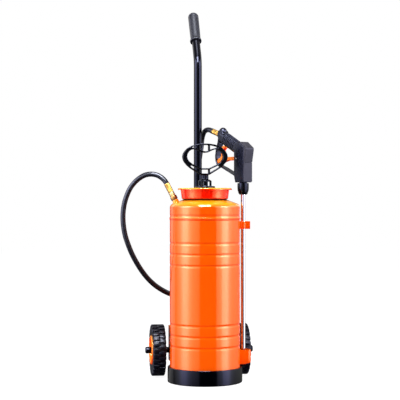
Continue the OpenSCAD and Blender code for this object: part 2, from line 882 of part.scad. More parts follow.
module nozzle_body() {
  color("gold")
    translate([lance_x, 0, 0])
      difference() {
        union() {
          translate([0, 0, nozzle_z0 + 5.5]) cylinder(r = 6.2, h = 12);
          translate([0, 0, nozzle_z0 + 15.5]) hex(16, 14);
        }
        translate([0, 0, lance_z0]) cylinder(r = lance_r + seat, h = 20);
        translate([0, 0, nozzle_z0]) cylinder(r = 2.2, h = 20);
      }
}

module nozzle_cap() {
  color("black")
    translate([lance_x, 0, nozzle_z0])
      difference() {
        rotate_extrude()
          polygon([[0, 0], [6.5, 0], [9.6, 3], [9.6, 15], [6.5, 15], [6.5, 4], [0, 4]]);
        translate([0, 0, -1]) cylinder(r = 1.1, h = 8, $fn = 24);
        for (a = [0:30:330])
          rotate(a) translate([10.3, 0, 4.5]) cylinder(r = 1.3, h = 14, $fn = 24);
      }
}

// The nut that holds the lance in the gun: a cone with ribs for the fingers
module lance_nut() {
  color("#1b1b1d")
    translate([lance_x, 0, 0]) {
      rotate_extrude()
        polygon([[lance_r + gap, 532], [9.6, 532], [12.4, 534], [14.4, 540], [15.4, 547],
          [15.4, gun_z - 2], [spigot_r + gap, gun_z - 2], [spigot_r + gap, 543.5],
          [lance_r + gap, 543.5]]);
      for (a = [0:30:330])
        rotate(a)
          rotate([90, 0, 0])
            linear_extrude(2.6, center = true)
              polygon([[13.2, 538], [15.2, 541], [16.2, 548], [16.4, 552], [16.4, gun_z - 2.6],
                [14.9, gun_z - 2.6], [14.9, 547]]);
    }
}

// ---- hose ----
// The route's middle points, between the two ferrules
hose_points = [[-111, 40.5, 572.5], [-120.5, 44, 581.5], [-133.5, 48, 588.5], [-149, 52.5, 591],
  [-165, 57, 588.5], [-180, 61, 580.5], [-195, 64.5, 567.5], [-208, 68, 550], [-217, 71, 530],
  [-223.5, 73, 509], [-227, 75, 487], [-228, 76, 464], [-226, 77, 439], [-221, 79, 413],
  [-212, 81, 386], [-201, 84, 360], [-187, 88, 334], [-170, 94, 308], [-151, 101, 285],
  [-130, 109, 266], [-109, 117, 252], [-87, 127, 241], [-64, 139, 235], [-42, 153, 236],
  [-23, 167, 246], [-10, 178, 265], [-3, 184, 291], [-1, 186, 322], [0, 186.5, 356],
  [0, 186.5, 390], [0, 186.5, 424], [0, 186.5, 458], [1, 186.5, 492], [2, 186.5, 526],
  [3, 186.5, 560], [5, 187, 592], [8, 187.6, 620], [11, 188, 642], [13.8, 187.8, 661],
  [16, 186.3, 676], [16.5, 182.2, 690.4], [17.2, 175.9, 702.5], [18.7, 166.8, 712.5],
  [20.8, 155.7, 719.8], [23.8, 145.1, 723.4], [27.6, 135.1, 724.6], [31.5, 127, 724]];
hose_start = outlet_base + outlet_end * outlet_dir;
hose_stop = gun_point(fitting_end_u, fitting_end_z);
hose_stop_dir = -[-cos(gun_yaw) * cos(fitting_tilt), sin(gun_yaw) * cos(fitting_tilt), sin(fitting_tilt)];
hose_path = concat([hose_start], hose_points, [hose_stop - 0.3 * hose_stop_dir]);
hose_sides = 12;

function unit(v) = v / norm(v);
// Direction of the route at its point i
function hose_dir(i) =
  i == 0 ? outlet_dir :
  i == len(hose_path) - 1 ? hose_stop_dir :
  unit(hose_path[i + 1] - hose_path[i - 1]);
// Carries a cross direction along the route without twisting it
function carried(i, n) =
  let (d = hose_dir(i), m = unit(n - (n * d) * d))
  i == len(hose_path) - 1 ? [m] : concat([m], carried(i + 1, m));

module hose() {
  cross_dirs = carried(0, [0, 1, 0]);
  rings = len(hose_path);
  pts = [for (i = [0:rings - 1])
    let (m = cross_dirs[i], k = cross(hose_dir(i), m))
    for (j = [0:hose_sides - 1])
      hose_path[i] + hose_r * (cos(j * 360 / hose_sides) * m + sin(j * 360 / hose_sides) * k)];
  first = [for (j = [hose_sides - 1:-1:0]) j];
  last = [for (j = [0:hose_sides - 1]) (rings - 1) * hose_sides + j];
  walls = [for (i = [0:rings - 2], j = [0:hose_sides - 1])
    let (a = i * hose_sides + j, b = i * hose_sides + (j + 1) % hose_sides)
    each [[a, b, b + hose_sides], [a, b + hose_sides, a + hose_sides]]];
  color("#18181a") polyhedron(concat(pts), concat([last], [first], walls));
}

tank_wall();
tank_bottom();
tank_head();
neck_ring();
funnel();
boot();
outlet_boss();
outlet_nut();
hose_coupling();
tank_ferrule();
dip_tube();
dip_filter();
axle_bracket();
pole_standoff();
pole();
pole_plug();
pole_bolt(bolt_z[0]);  // pole_bolt_low
pole_bolt(bolt_z[1]);  // pole_bolt_high
pole_grip();
axle();
spacer(-1);  // spacer_left
spacer(1);  // spacer_right
axle_cap(-1);  // axle_cap_left
axle_cap(1);  // axle_cap_right
lance_clip();
lance_pocket();
tyre(-1);  // tyre_left
hub(-1);  // hub_left
bush(-1);  // bush_left
tyre(1);  // tyre_right
hub(1);  // hub_right
bush(1);  // bush_right
cap_gasket();
pump_cap();
pump_barrel();
foot_valve();
pump_handle();
handle_pin();
pump_rod();
piston();
piston_cup();
gun_body();
gun_hood();
gun_spine();
trigger_pin();
valve_spring();
gun_fitting();
gun_ferrule();
lance();
lance_seal();
nozzle_body();
trigger();
valve_stem();
lance_nut();
nozzle_cap();
hose();
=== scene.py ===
import json
import math
import bmesh
import bpy
import numpy as np
from mathutils import Matrix, Vector


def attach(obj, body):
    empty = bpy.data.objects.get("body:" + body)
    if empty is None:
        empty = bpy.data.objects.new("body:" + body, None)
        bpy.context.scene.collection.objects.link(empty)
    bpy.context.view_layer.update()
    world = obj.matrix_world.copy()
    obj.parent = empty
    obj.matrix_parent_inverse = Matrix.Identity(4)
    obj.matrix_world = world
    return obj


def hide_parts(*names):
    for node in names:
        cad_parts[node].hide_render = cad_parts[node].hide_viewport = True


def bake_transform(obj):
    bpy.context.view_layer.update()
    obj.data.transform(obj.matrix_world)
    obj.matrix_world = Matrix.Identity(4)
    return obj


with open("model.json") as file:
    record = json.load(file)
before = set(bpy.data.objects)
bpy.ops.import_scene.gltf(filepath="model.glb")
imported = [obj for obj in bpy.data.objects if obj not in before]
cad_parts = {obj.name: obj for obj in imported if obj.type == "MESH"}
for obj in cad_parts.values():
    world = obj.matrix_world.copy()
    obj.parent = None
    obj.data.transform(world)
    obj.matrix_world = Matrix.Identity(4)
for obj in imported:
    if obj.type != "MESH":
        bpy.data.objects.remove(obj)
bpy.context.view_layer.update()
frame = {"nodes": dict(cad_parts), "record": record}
nodes = frame["nodes"]
bodyOf = {n: b for b, members in frame["record"]["behaviour"]["bodies"].items() for n in members}
print("frame loaded:", len(nodes), "nodes")

# The camera: degrees, metres and millimetres of lens
view = {"azimuth": -8.0, "distance": 3.4, "aside": 0.014, "height": 0.5166, "lens": 107.37, "sensor": 36,
        "nearest": 0.1, "farthest": 60}


def placeCamera():
    turn = math.radians(-view["azimuth"])
    ahead = Vector((math.sin(turn), math.cos(turn), 0))
    right = Vector((math.cos(turn), -math.sin(turn), 0))
    data = bpy.data.cameras.new("camera")
    data.lens = view["lens"]
    data.sensor_width = view["sensor"]
    data.clip_start = view["nearest"]
    data.clip_end = view["farthest"]
    camera = bpy.data.objects.new("camera", data)
    camera.location = -view["distance"] * ahead - view["aside"] * right + Vector((0, 0, view["height"]))
    camera.rotation_euler = (math.radians(90), 0, -turn)
    bpy.context.scene.collection.objects.link(camera)
    bpy.context.scene.camera = camera


placeCamera()


touching = 1e-6  # points closer than this are one, and a radius below it is none


def addMesh(name, points, faces, uv=None):
    mesh = bpy.data.meshes.new(name)
    mesh.from_pydata([tuple(p) for p in points], [], faces)
    if uv is not None:  # one pair for each corner of each face
        layer = mesh.uv_layers.new(name="alongAndRound")
        layer.data.foreach_set("uv", np.array(uv, np.float32).ravel())
    mesh.validate()
    obj = bpy.data.objects.new(name, mesh)
    bpy.context.scene.collection.objects.link(obj)
    return obj


# Smooth shading, apart from edges that turn by more than so many degrees
def smooth(obj, degrees=40):
    obj.data.polygons.foreach_set("use_smooth", [True] * len(obj.data.polygons))
    if degrees < 180:
        obj.data.set_sharp_from_angle(angle=math.radians(degrees))
    obj.data.update()
    return obj


# Merges what touches and turns all faces outwards
def outward(obj):
    work = bmesh.new()
    work.from_mesh(obj.data)
    bmesh.ops.remove_doubles(work, verts=work.verts, dist=touching)
    bmesh.ops.recalc_face_normals(work, faces=work.faces)
    work.to_mesh(obj.data)
    work.free()
    return obj


# Smooth line through points, with given directions at its ends: every stretch is cut into equal steps
def splineThrough(points, steps, startDir, endDir):
    p = [Vector(q) for q in points]
    tangents = [(p[min(i + 1, len(p) - 1)] - p[max(i - 1, 0)]) * 0.5 for i in range(len(p))]
    tangents[0], tangents[-1] = startDir, endDir
    line = []
    for i in range(len(p) - 1):
        reach = (p[i + 1] - p[i]).length
        a = tangents[i].normalized() * reach
        b = tangents[i + 1].normalized() * reach
        for k in range(steps):
            t = k / steps
            line.append((2 * t**3 - 3 * t**2 + 1) * p[i] + (t**3 - 2 * t**2 + t) * a
                        + (3 * t**2 - 2 * t**3) * p[i + 1] + (t**3 - t**2) * b)
    line.append(p[-1])
    return line


# Round tube along a line, with closed ends; radius may be a number or a function of the share of the way
def sweepTube(name, line, radius, sides):
    ahead = [(line[min(i + 1, len(line) - 1)] - line[max(i - 1, 0)]).normalized() for i in range(len(line))]
    side = ahead[0].orthogonal().normalized()
    travelled, points, faces, uv = [0.0], [], [], []
    for i in range(1, len(line)):
        travelled.append(travelled[-1] + (line[i] - line[i - 1]).length)
    for i, centre in enumerate(line):
        side = (side - side.dot(ahead[i]) * ahead[i]).normalized()
        up = ahead[i].cross(side)
        r = radius(travelled[i] / travelled[-1]) if callable(radius) else radius
        for j in range(sides):
            around = 2 * math.pi * j / sides
            points.append(centre + r * (math.cos(around) * side + math.sin(around) * up))
    for i in range(len(line) - 1):
        for j in range(sides):
            k = (j + 1) % sides
            faces.append((i * sides + j, i * sides + k, (i + 1) * sides + k, (i + 1) * sides + j))
            a, b = travelled[i], travelled[i + 1]
            uv += [(a, j / sides), (a, (j + 1) / sides), (b, (j + 1) / sides), (b, j / sides)]
    faces.append(tuple(range(sides - 1, -1, -1)))
    faces.append(tuple((len(line) - 1) * sides + j for j in range(sides)))
    uv += [(0, 0)] * sides + [(travelled[-1], 0)] * sides
    return addMesh(name, points, faces, uv)


# Turned piece: a closed outline of (radius, height) pairs in mm, turned about the Z axis and then placed
def lathe(name, outline, place=Matrix.Identity(4), sides=96):
    points, faces, rings = [], [], []
    for r, z in outline:
        if r < touching:
            rings.append([len(points)])
            points.append(place @ Vector((0, 0, z / 1000)))
        else:
            rings.append(list(range(len(points), len(points) + sides)))
            for j in range(sides):
                around = 2 * math.pi * j / sides
                points.append(place @ Vector((r * math.cos(around) / 1000, r * math.sin(around) / 1000, z / 1000)))
    for i in range(len(rings)):
        a, b = rings[i], rings[(i + 1) % len(rings)]
        if len(a) == 1 and len(b) == 1:
            continue
        for j in range(sides):
            k = (j + 1) % sides
            face = [a[j % len(a)], a[k % len(a)], b[k % len(b)], b[j % len(b)]]
            faces.append(tuple(dict.fromkeys(face)))  # a triangle where one ring is a point
    return outward(addMesh(name, points, faces))


# Rounds each corner of an outline by that corner's own radius
def rounded(outline, steps=4):
    line = []
    for i, corner in enumerate(outline):
        r = corner[2] if len(corner) > 2 else 0
        here = Vector(corner[:2])
        if r <= 0:
            line.append(tuple(here))
            continue
        before = Vector(outline[i - 1][:2]) - here
        after = Vector(outline[(i + 1) % len(outline)][:2]) - here
        angle = before.angle(after)
        cut = min(r / math.tan(angle / 2), before.length * 0.48, after.length * 0.48)
        a, b = here + before.normalized() * cut, here + after.normalized() * cut
        for k in range(steps + 1):
            t = k / steps
            line.append(tuple((1 - t)**2 * a + 2 * t * (1 - t) * here + t**2 * b))
    return line


# Copies of CAD nodes: how far apart points are merged, which faces count as one, and how edges are rounded
copySizes = {"merge": 2e-6, "flat": 1.0, "segments": 2, "sharp": 30, "softening": 0.5, "rounds": 3}


# A merged copy of a CAD node, with its edges rounded by a width in mm
def bevelled(node, width):
    obj = bpy.data.objects.new(node + "Shown", nodes[node].data.copy())
    bpy.context.scene.collection.objects.link(obj)
    obj.data.materials.clear()
    work = bmesh.new()
    work.from_mesh(obj.data)
    bmesh.ops.remove_doubles(work, verts=work.verts, dist=copySizes["merge"])
    flat = math.radians(copySizes["flat"])
    bmesh.ops.dissolve_limit(work, angle_limit=flat, verts=work.verts, edges=work.edges)
    work.to_mesh(obj.data)
    work.free()
    if width:
        bevel = obj.modifiers.new("bevel", "BEVEL")
        bevel.width = width / 1000
        bevel.segments = copySizes["segments"]
        bevel.limit_method = "ANGLE"
        bevel.angle_limit = math.radians(copySizes["sharp"])
        bevel.miter_outer = "MITER_ARC"
        bevel.use_clamp_overlap = True
        settle(obj)
    return smooth(obj, copySizes["sharp"])


# A copy of a CAD node as one moulded skin: evened into small faces, softened, and swollen by what that took off
def moulded(node, cell, swell):
    obj = bevelled(node, 0)
    skin = obj.modifiers.new("skin", "REMESH")
    skin.mode = "VOXEL"
    skin.voxel_size = cell / 1000
    soft = obj.modifiers.new("soft", "SMOOTH")
    soft.factor = copySizes["softening"]
    soft.iterations = copySizes["rounds"]
    fuller = obj.modifiers.new("fuller", "DISPLACE")
    fuller.mid_level = 0
    fuller.strength = swell / 1000
    return smooth(settle(obj), 180)


# Turns a piece with modifiers into a plain mesh
def settle(obj):
    bpy.context.view_layer.update()
    plain = bpy.data.meshes.new_from_object(obj.evaluated_get(bpy.context.evaluated_depsgraph_get()))
    obj.modifiers.clear()
    obj.data = plain
    return obj


# Geometry Nodes tree that repeats a piece: each copy is turned about Z and stepped on from the one before
def makeRepeatTree():
    tree = bpy.data.node_groups.new("repeatPiece", "GeometryNodeTree")
    face = tree.interface
    face.new_socket("Piece", in_out="INPUT", socket_type="NodeSocketGeometry")
    for label, kind, value in (("Count", "NodeSocketInt", 12), ("Turn", "NodeSocketFloat", 0.5),
                               ("Phase", "NodeSocketFloat", 0.0), ("Step", "NodeSocketVector", (0, 0, 0)),
                               ("Material", "NodeSocketMaterial", None)):
        made = face.new_socket(label, in_out="INPUT", socket_type=kind)
        if value is not None:
            made.default_value = value
    face.new_socket("Pieces", in_out="OUTPUT", socket_type="NodeSocketGeometry")
    put, link = tree.nodes.new, tree.links.new
    given, result = put("NodeGroupInput"), put("NodeGroupOutput")
    points, number = put("GeometryNodePoints"), put("GeometryNodeInputIndex")
    copies, stepped = put("GeometryNodeInstanceOnPoints"), put("ShaderNodeVectorMath")
    angle, shifted, turned = put("ShaderNodeMath"), put("ShaderNodeMath"), put("ShaderNodeCombineXYZ")
    real, painted = put("GeometryNodeRealizeInstances"), put("GeometryNodeSetMaterial")
    angle.operation, shifted.operation, stepped.operation = "MULTIPLY", "ADD", "SCALE"
    link(given.outputs["Count"], points.inputs["Count"])
    link(given.outputs["Step"], stepped.inputs[0])
    link(number.outputs[0], stepped.inputs["Scale"])
    link(stepped.outputs[0], points.inputs["Position"])
    link(number.outputs[0], angle.inputs[0])
    link(given.outputs["Turn"], angle.inputs[1])
    link(angle.outputs[0], shifted.inputs[0])
    link(given.outputs["Phase"], shifted.inputs[1])
    link(shifted.outputs[0], turned.inputs["Z"])
    link(points.outputs[0], copies.inputs["Points"])
    link(given.outputs["Piece"], copies.inputs["Instance"])
    link(turned.outputs[0], copies.inputs["Rotation"])
    link(copies.outputs[0], real.inputs[0])
    link(real.outputs[0], painted.inputs["Geometry"])
    link(given.outputs["Material"], painted.inputs["Material"])
    link(painted.outputs[0], result.inputs[0])
    return tree


repeatTree = makeRepeatTree()


# A flat outline of (radius, height) pairs in mm, standing on the X axis, as thick as halfWidth says at each pair
def addSlab(name, outline, halfWidth, upDown=1):
    count = len(outline)
    points = [(r / 1000, side * halfWidth(r, z) / 1000, upDown * z / 1000) for side in (-1, 1) for r, z in outline]
    faces = [tuple(range(count)), tuple(range(2 * count - 1, count - 1, -1))]
    faces += [(i, i + count, (i + 1) % count + count, (i + 1) % count) for i in range(count)]
    return outward(addMesh(name, points, faces))


# Repeats one piece, drawn about the Z axis, and puts the result in its place
def repeated(obj, material, count, place, turn=0.0, phase=0.0, step=(0, 0, 0)):
    change = obj.modifiers.new("repeat", "NODES")
    change.node_group = repeatTree
    sockets = [item for item in repeatTree.interface.items_tree if item.item_type == "SOCKET"]
    keys = {item.name: item.identifier for item in sockets}
    change[keys["Count"]] = count
    change[keys["Turn"]] = turn
    change[keys["Phase"]] = phase
    change[keys["Step"]] = [float(v) for v in step]
    change[keys["Material"]] = material
    settle(obj)
    obj.data.transform(place)
    return obj


# Joins pieces of one body and one material into the first of them
def joined(first, *others):
    work = bmesh.new()
    for obj in (first, *others):
        obj.data.materials.clear()
        work.from_mesh(obj.data)
    work.to_mesh(first.data)
    work.free()
    for obj in others:
        bpy.data.objects.remove(obj)
    return first


# Gives a piece its material and body, and hides the CAD nodes that it stands for
def show(obj, material, *replaced, body=None):
    obj.data.materials.clear()
    obj.data.materials.append(material)
    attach(obj, body or bodyOf[replaced[0]])
    if replaced:
        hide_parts(*replaced)


# The hose and the two fittings that it joins, in metres and degrees
hoseSizes = {"radius": 0.00746, "sides": 24, "stepsPerStretch": 6, "fromOutlet": 0.066, "gap": 0.0003}
outletSizes = {"lean": 27.9, "around": 160, "fromAxis": 0.0813, "height": 0.505}
gunSizes = {"yaw": 58, "lanceX": 0.1105, "fittingTilt": 18, "fittingRoot": (94, 706.5), "fittingReach": 0.046}
gunYaw, lanceX = math.radians(gunSizes["yaw"]), gunSizes["lanceX"]


def gunPoint(u, z):  # mm along the gun and up, from the lance's axis
    return Vector((lanceX - u * math.cos(gunYaw) / 1000, u * math.sin(gunYaw) / 1000, z / 1000))


def slanted(flat, lean):  # a direction over a flat one, leaning away from upright
    return Vector((math.sin(lean) * flat[0], math.sin(lean) * flat[1], math.cos(lean)))


outletAround = math.radians(outletSizes["around"])
outletFlat = (math.cos(outletAround), math.sin(outletAround))
outletDir = slanted(outletFlat, math.radians(outletSizes["lean"]))
outletBase = Vector((*(outletSizes["fromAxis"] * v for v in outletFlat), outletSizes["height"]))
fittingRoot = gunPoint(*gunSizes["fittingRoot"])
fittingDir = slanted((-math.cos(gunYaw), math.sin(gunYaw)), math.radians(90 - gunSizes["fittingTilt"]))
fittingLength = gunSizes["fittingReach"] / math.cos(math.radians(gunSizes["fittingTilt"]))
hoseRoute = [
    (-0.111, 0.0405, 0.5725), (-0.1205, 0.044, 0.5815), (-0.1335, 0.048, 0.5885), (-0.149, 0.0525, 0.591),
    (-0.165, 0.057, 0.5885), (-0.18, 0.061, 0.5805), (-0.195, 0.0645, 0.5675), (-0.208, 0.068, 0.55),
    (-0.217, 0.071, 0.53), (-0.2235, 0.073, 0.509), (-0.227, 0.075, 0.487), (-0.228, 0.076, 0.464),
    (-0.226, 0.077, 0.439), (-0.221, 0.079, 0.413), (-0.212, 0.081, 0.386), (-0.201, 0.084, 0.36),
    (-0.187, 0.088, 0.334), (-0.17, 0.094, 0.308), (-0.151, 0.101, 0.285), (-0.13, 0.109, 0.266),
    (-0.109, 0.117, 0.252), (-0.087, 0.127, 0.241), (-0.064, 0.139, 0.235), (-0.042, 0.153, 0.236),
    (-0.023, 0.167, 0.246), (-0.01, 0.178, 0.265), (-0.003, 0.184, 0.291), (-0.001, 0.186, 0.322),
    (0, 0.1865, 0.356), (0, 0.1865, 0.39), (0, 0.1865, 0.424), (0, 0.1865, 0.458), (0.001, 0.1865, 0.492),
    (0.002, 0.1865, 0.526), (0.003, 0.1865, 0.56), (0.005, 0.187, 0.592), (0.008, 0.1876, 0.62),
    (0.011, 0.188, 0.642), (0.0138, 0.1878, 0.661), (0.016, 0.1863, 0.676), (0.0165, 0.1822, 0.6904),
    (0.0172, 0.1759, 0.7025), (0.0187, 0.1668, 0.7125), (0.0208, 0.1557, 0.7198), (0.0238, 0.1451, 0.7234),
    (0.0276, 0.1351, 0.7246), (0.0315, 0.127, 0.724)]


def makeHose():
    start = outletBase + hoseSizes["fromOutlet"] * outletDir
    stop = fittingRoot + fittingDir * (fittingLength + hoseSizes["gap"])
    line = splineThrough([start, *hoseRoute, stop], hoseSizes["stepsPerStretch"], outletDir, -fittingDir)
    hose = smooth(sweepTube("hoseLine", line, hoseSizes["radius"], hoseSizes["sides"]), 60)
    length = sum((b - a).length for a, b in zip(line, line[1:]))
    print("hose length", round(length, 4))
    return hose, line, length


hose, hoseLine, hoseLength = makeHose()
print("camera and hose placed")


class Wire:  # a socket that takes part in Python sums
    def __init__(self, finish, socket):
        self.finish, self.socket = finish, socket

    def math(self, operation, *values):
        return self.finish.node("ShaderNodeMath", {"operation": operation}, *values)

    def __add__(self, other):
        return self.math("ADD", self, other)

    def __radd__(self, other):
        return self.math("ADD", other, self)

    def __sub__(self, other):
        return self.math("SUBTRACT", self, other)

    def __rsub__(self, other):
        return self.math("SUBTRACT", other, self)

    def __mul__(self, other):
        return self.math("MULTIPLY", self, other)

    def __rmul__(self, other):
        return self.math("MULTIPLY", other, self)

    def __pow__(self, other):
        return self.math("POWER", self, other)

    def __rpow__(self, other):
        return self.math("POWER", other, self)


# One material: what is the same all over is set on the shader, the rest comes from nodes
class Finish:
    def __init__(self, name, constants=None):
        self.material = bpy.data.materials.new(name)
        self.material.use_nodes = True
        self.tree = self.material.node_tree
        self.shader = self.tree.nodes["Principled BSDF"]
        for socket, value in (constants or {}).items():
            self.feed(self.shader.inputs[socket], value)

    # Settings are set first; values go to the sockets in order, or by their names or numbers
    def node(self, kind, settings, *values, named=None, out=0):
        made = self.tree.nodes.new(kind)
        for key, value in settings.items():
            if key == "stops":
                elements = made.color_ramp.elements
                while len(elements) < len(value):
                    elements.new(0.5)
                for element, (place, level) in zip(elements, value):
                    element.position = place
                    element.color = (level, level, level, 1)
            else:
                setattr(made, key, value)
        for socket, value in enumerate(values):
            self.feed(made.inputs[socket], value)
        for socket, value in (named or {}).items():
            self.feed(made.inputs[socket], value)
        return Wire(self, made.outputs[out])

    def feed(self, socket, value):
        if isinstance(value, Wire):
            self.tree.links.new(value.socket, socket)
        else:
            socket.default_value = (*value, 1) if socket.type == "RGBA" else value

    def part(self, vector, axis):  # one of a vector's three numbers
        return self.node("ShaderNodeSeparateXYZ", {}, vector, out=axis)

    def place(self, stretch=(1, 1, 1)):
        where = self.node("ShaderNodeTexCoord", {}, out="Object")
        return self.node("ShaderNodeMapping", {}, where, named={"Scale": stretch})

    def noise(self, scale, detail, rough=0.55, stretch=(1, 1, 1)):
        sockets = {"Vector": self.place(stretch), "Scale": scale, "Detail": detail, "Roughness": rough}
        return self.node("ShaderNodeTexNoise", {}, named=sockets)

    def cloudy(self, scale, detail, low=0.0, high=1.0):  # noise whose middle range runs from low to high
        return self.spread(self.noise(scale, detail), *noiseMiddle, low, high)

    def blend(self, share, first, second):  # mixes two colours
        return self.node("ShaderNodeMix", {"data_type": "RGBA"}, named={0: share, 6: first, 7: second}, out=2)

    def spread(self, value, low, high, lowTo=0.0, highTo=1.0):
        return self.node("ShaderNodeMapRange", {}, value, low, high, lowTo, highTo)

    def bump(self, height, strength, distance):
        return self.node("ShaderNodeBump", {}, named={"Strength": strength, "Distance": distance, "Height": height})

    def paint(self, colour, roughness, normal):
        for socket, value in (("Base Color", colour), ("Roughness", roughness), ("Normal", normal)):
            self.feed(self.shader.inputs[socket], value)
        return self.material

    def light(self, colour, strength, share=None):  # shines, all of it or a share
        glow = self.node("ShaderNodeEmission", {}, colour, strength)
        if share:
            glow = self.node("ShaderNodeMixShader", {}, share, Wire(self, self.shader.outputs[0]), glow)
        self.feed(self.tree.nodes["Material Output"].inputs["Surface"], glow)
        return self.material


noiseMiddle = (0.3, 0.7)


def linear(r, g, b):  # a screen colour, 0 to 255, as the shader wants it
    return tuple((c / 255 / 12.92) if c <= 10.3 else ((c / 255 + 0.055) / 1.055)**2.4 for c in (r, g, b))


def scaled(colour, by):
    return tuple(min(1.0, c * by) for c in colour)


# Sprayed gloss paint with a fine peel, and light and shade painted into its colour: painted top light where it
# looks up, painted shade where it looks down; inner is the radius inside which the funnel's shadow is painted,
# shade how dark the painted shade on its underside is
paintLook = {"patches": 9, "patchTone": 0.96, "funnelShadowEdge": 0.004, "funnelShadowTone": 0.16, "underShadeTurn": (-0.4, -0.7),
             "underShadeTone": 0.12, "underMatt": 0.5, "smears": 60, "smearMatt": 0.04, "peelScale": 420,
             "peelDepth": 0.0004}


def glossPaint(name, plain, toplitColour, deep, roughness, level=0.5, peel=0.02, index=1.5, inner=0.0, toplitTurn=(0.2, 0.95),
               shadedTurn=(-0.04, -0.5), shade=0.0, tint=(1.0, 0.97, 0.45)):
    f, g = Finish(name, {"IOR": index, "Specular IOR Level": level, "Specular Tint": tint}), paintLook
    facing = f.part(f.node("ShaderNodeTexCoord", {}, out="Normal"), 2)
    colour = f.blend(f.cloudy(g["patches"], 2), scaled(plain, g["patchTone"]), plain)
    # Painted top light: where the paint faces up its colour turns lighter and warmer
    colour = f.blend(f.spread(facing, *toplitTurn), colour, toplitColour)
    # Painted shadow of the funnel: inside the radius inner the colour is darkened
    if inner:
        x, y = f.part(f.place(), 0), f.part(f.place(), 1)
        funnelShadow = f.spread((x * x + y * y) ** 0.5, inner, inner - g["funnelShadowEdge"])
        colour = f.blend(funnelShadow, colour, scaled(deep, g["funnelShadowTone"]))
    # Painted shade: where the paint faces down its colour turns deeper
    colour = f.blend(f.spread(facing, *shadedTurn), colour, deep)
    # Painted shade on the underside, as dark as shade says, where the paint is also rougher
    underShade = f.spread(facing, *g["underShadeTurn"], 0.0, shade)
    colour = f.blend(underShade, colour, scaled(deep, g["underShadeTone"]))
    matt = f.cloudy(g["smears"], 3, roughness, roughness + g["smearMatt"]) + underShade * g["underMatt"]
    return f.paint(colour, matt, f.bump(f.noise(g["peelScale"], 2, 0.5), peel, g["peelDepth"]))


# Moulded plastic: fine spark-eroded grain with a slow change of tone
plasticLook = {"patches": 28, "smears": 150, "smearMatt": (-0.03, 0.05), "grainDepth": 0.0003}


def mouldedPlastic(name, colour, roughness, grain=0.12, scale=1300, tone=0.75, level=0.5, tint=(1, 1, 1)):
    f, g = Finish(name, {"IOR": 1.5, "Specular IOR Level": level, "Specular Tint": tint}), plasticLook
    shown = f.blend(f.cloudy(g["patches"], 3), scaled(colour, tone), colour)
    matt = f.cloudy(g["smears"], 3, *(roughness + change for change in g["smearMatt"]))
    return f.paint(shown, matt, f.bump(f.noise(scale, 2, 0.6), grain, g["grainDepth"]))


# Turned or drawn metal: fine lines along or around, given by the stretch, and darker stains
metalLook = {"stains": 35, "stainRange": (0.35, 0.7), "lines": 900, "lineMatt": (-0.03, 0.08), "lineDepth": 0.0001}


def metal(name, colour, roughness, stretch, lines=0.1, stain=0.85):
    f, g = Finish(name, {"Metallic": 1.0}), metalLook
    shown = f.blend(f.spread(f.noise(g["stains"], 4), *g["stainRange"]), scaled(colour, stain), colour)
    fine = f.noise(g["lines"], 2, 0.5, stretch)
    matt = f.spread(fine, *noiseMiddle, *(roughness + change for change in g["lineMatt"]))
    return f.paint(shown, matt, f.bump(fine, lines, g["lineDepth"]))


# Rubber or foam with a dusty bloom
rubberLook = {"dust": 40, "dustRange": (0.48, 0.78), "smears": 120, "smearMatt": (-0.04, 0.06), "grainDepth": 0.0004,
              "tint": (0.8, 0.85, 1)}


def rubber(name, colour, bloom, roughness, scale=500, grain=0.2, level=0.3, index=1.5):
    g = rubberLook
    f = Finish(name, {"IOR": index, "Specular IOR Level": level, "Specular Tint": g["tint"]})
    shown = f.blend(f.spread(f.noise(g["dust"], 5, 0.65), *g["dustRange"]), colour, bloom)
    matt = f.cloudy(g["smears"], 3, *(roughness + change for change in g["smearMatt"]))
    return f.paint(shown, matt, f.bump(f.noise(scale, 3, 0.6), grain, g["grainDepth"]))


# Each paint's plain colour, its painted top light where it looks up and its painted shade where it looks down
paints = {
    "tank": ((0.975, 0.102, 0.001), (0.98, 0.42, 0.005), (0.92, 0.03, 0.001)),
    "funnel": ((0.93, 0.024, 0.001), (0.98, 0.5, 0.03), (0.9, 0.009, 0.001)),
    "boss": ((0.98, 0.33, 0.012), (0.98, 0.5, 0.03), (0.97, 0.2, 0.005)),
    "hub": ((0.95, 0.2, 0.01), (0.95, 0.3, 0.012), (0.9, 0.08, 0.004)),
    "trigger": ((0.97, 0.2, 0.003), (0.98, 0.36, 0.004), (0.9, 0.02, 0.004)),
    "pole": ((0.0012, 0.0012, 0.0028), (0.003, 0.003, 0.005), (0.001, 0.001, 0.002))}
coolTint = (0.62, 0.67, 1.0)
orangePaint = glossPaint("orangePaint", *paints["tank"], roughness=0.045, peel=0.008)
# The head's paint carries the funnel's painted shadow round its middle
headPaint = glossPaint("headPaint", *paints["tank"], roughness=0.07, peel=0.008, inner=0.0712, shadedTurn=(-0.03, -0.28))
# The funnel's paint is a shaded copy of the orange paint: darker and redder, with strong painted shade underneath
shadedFunnelPaint = glossPaint("shadedFunnelPaint", *paints["funnel"], roughness=0.06, toplitTurn=(0.05, 0.6), shadedTurn=(-0.02, -0.1),
                         shade=1.0, tint=(1, 1, 0.34))
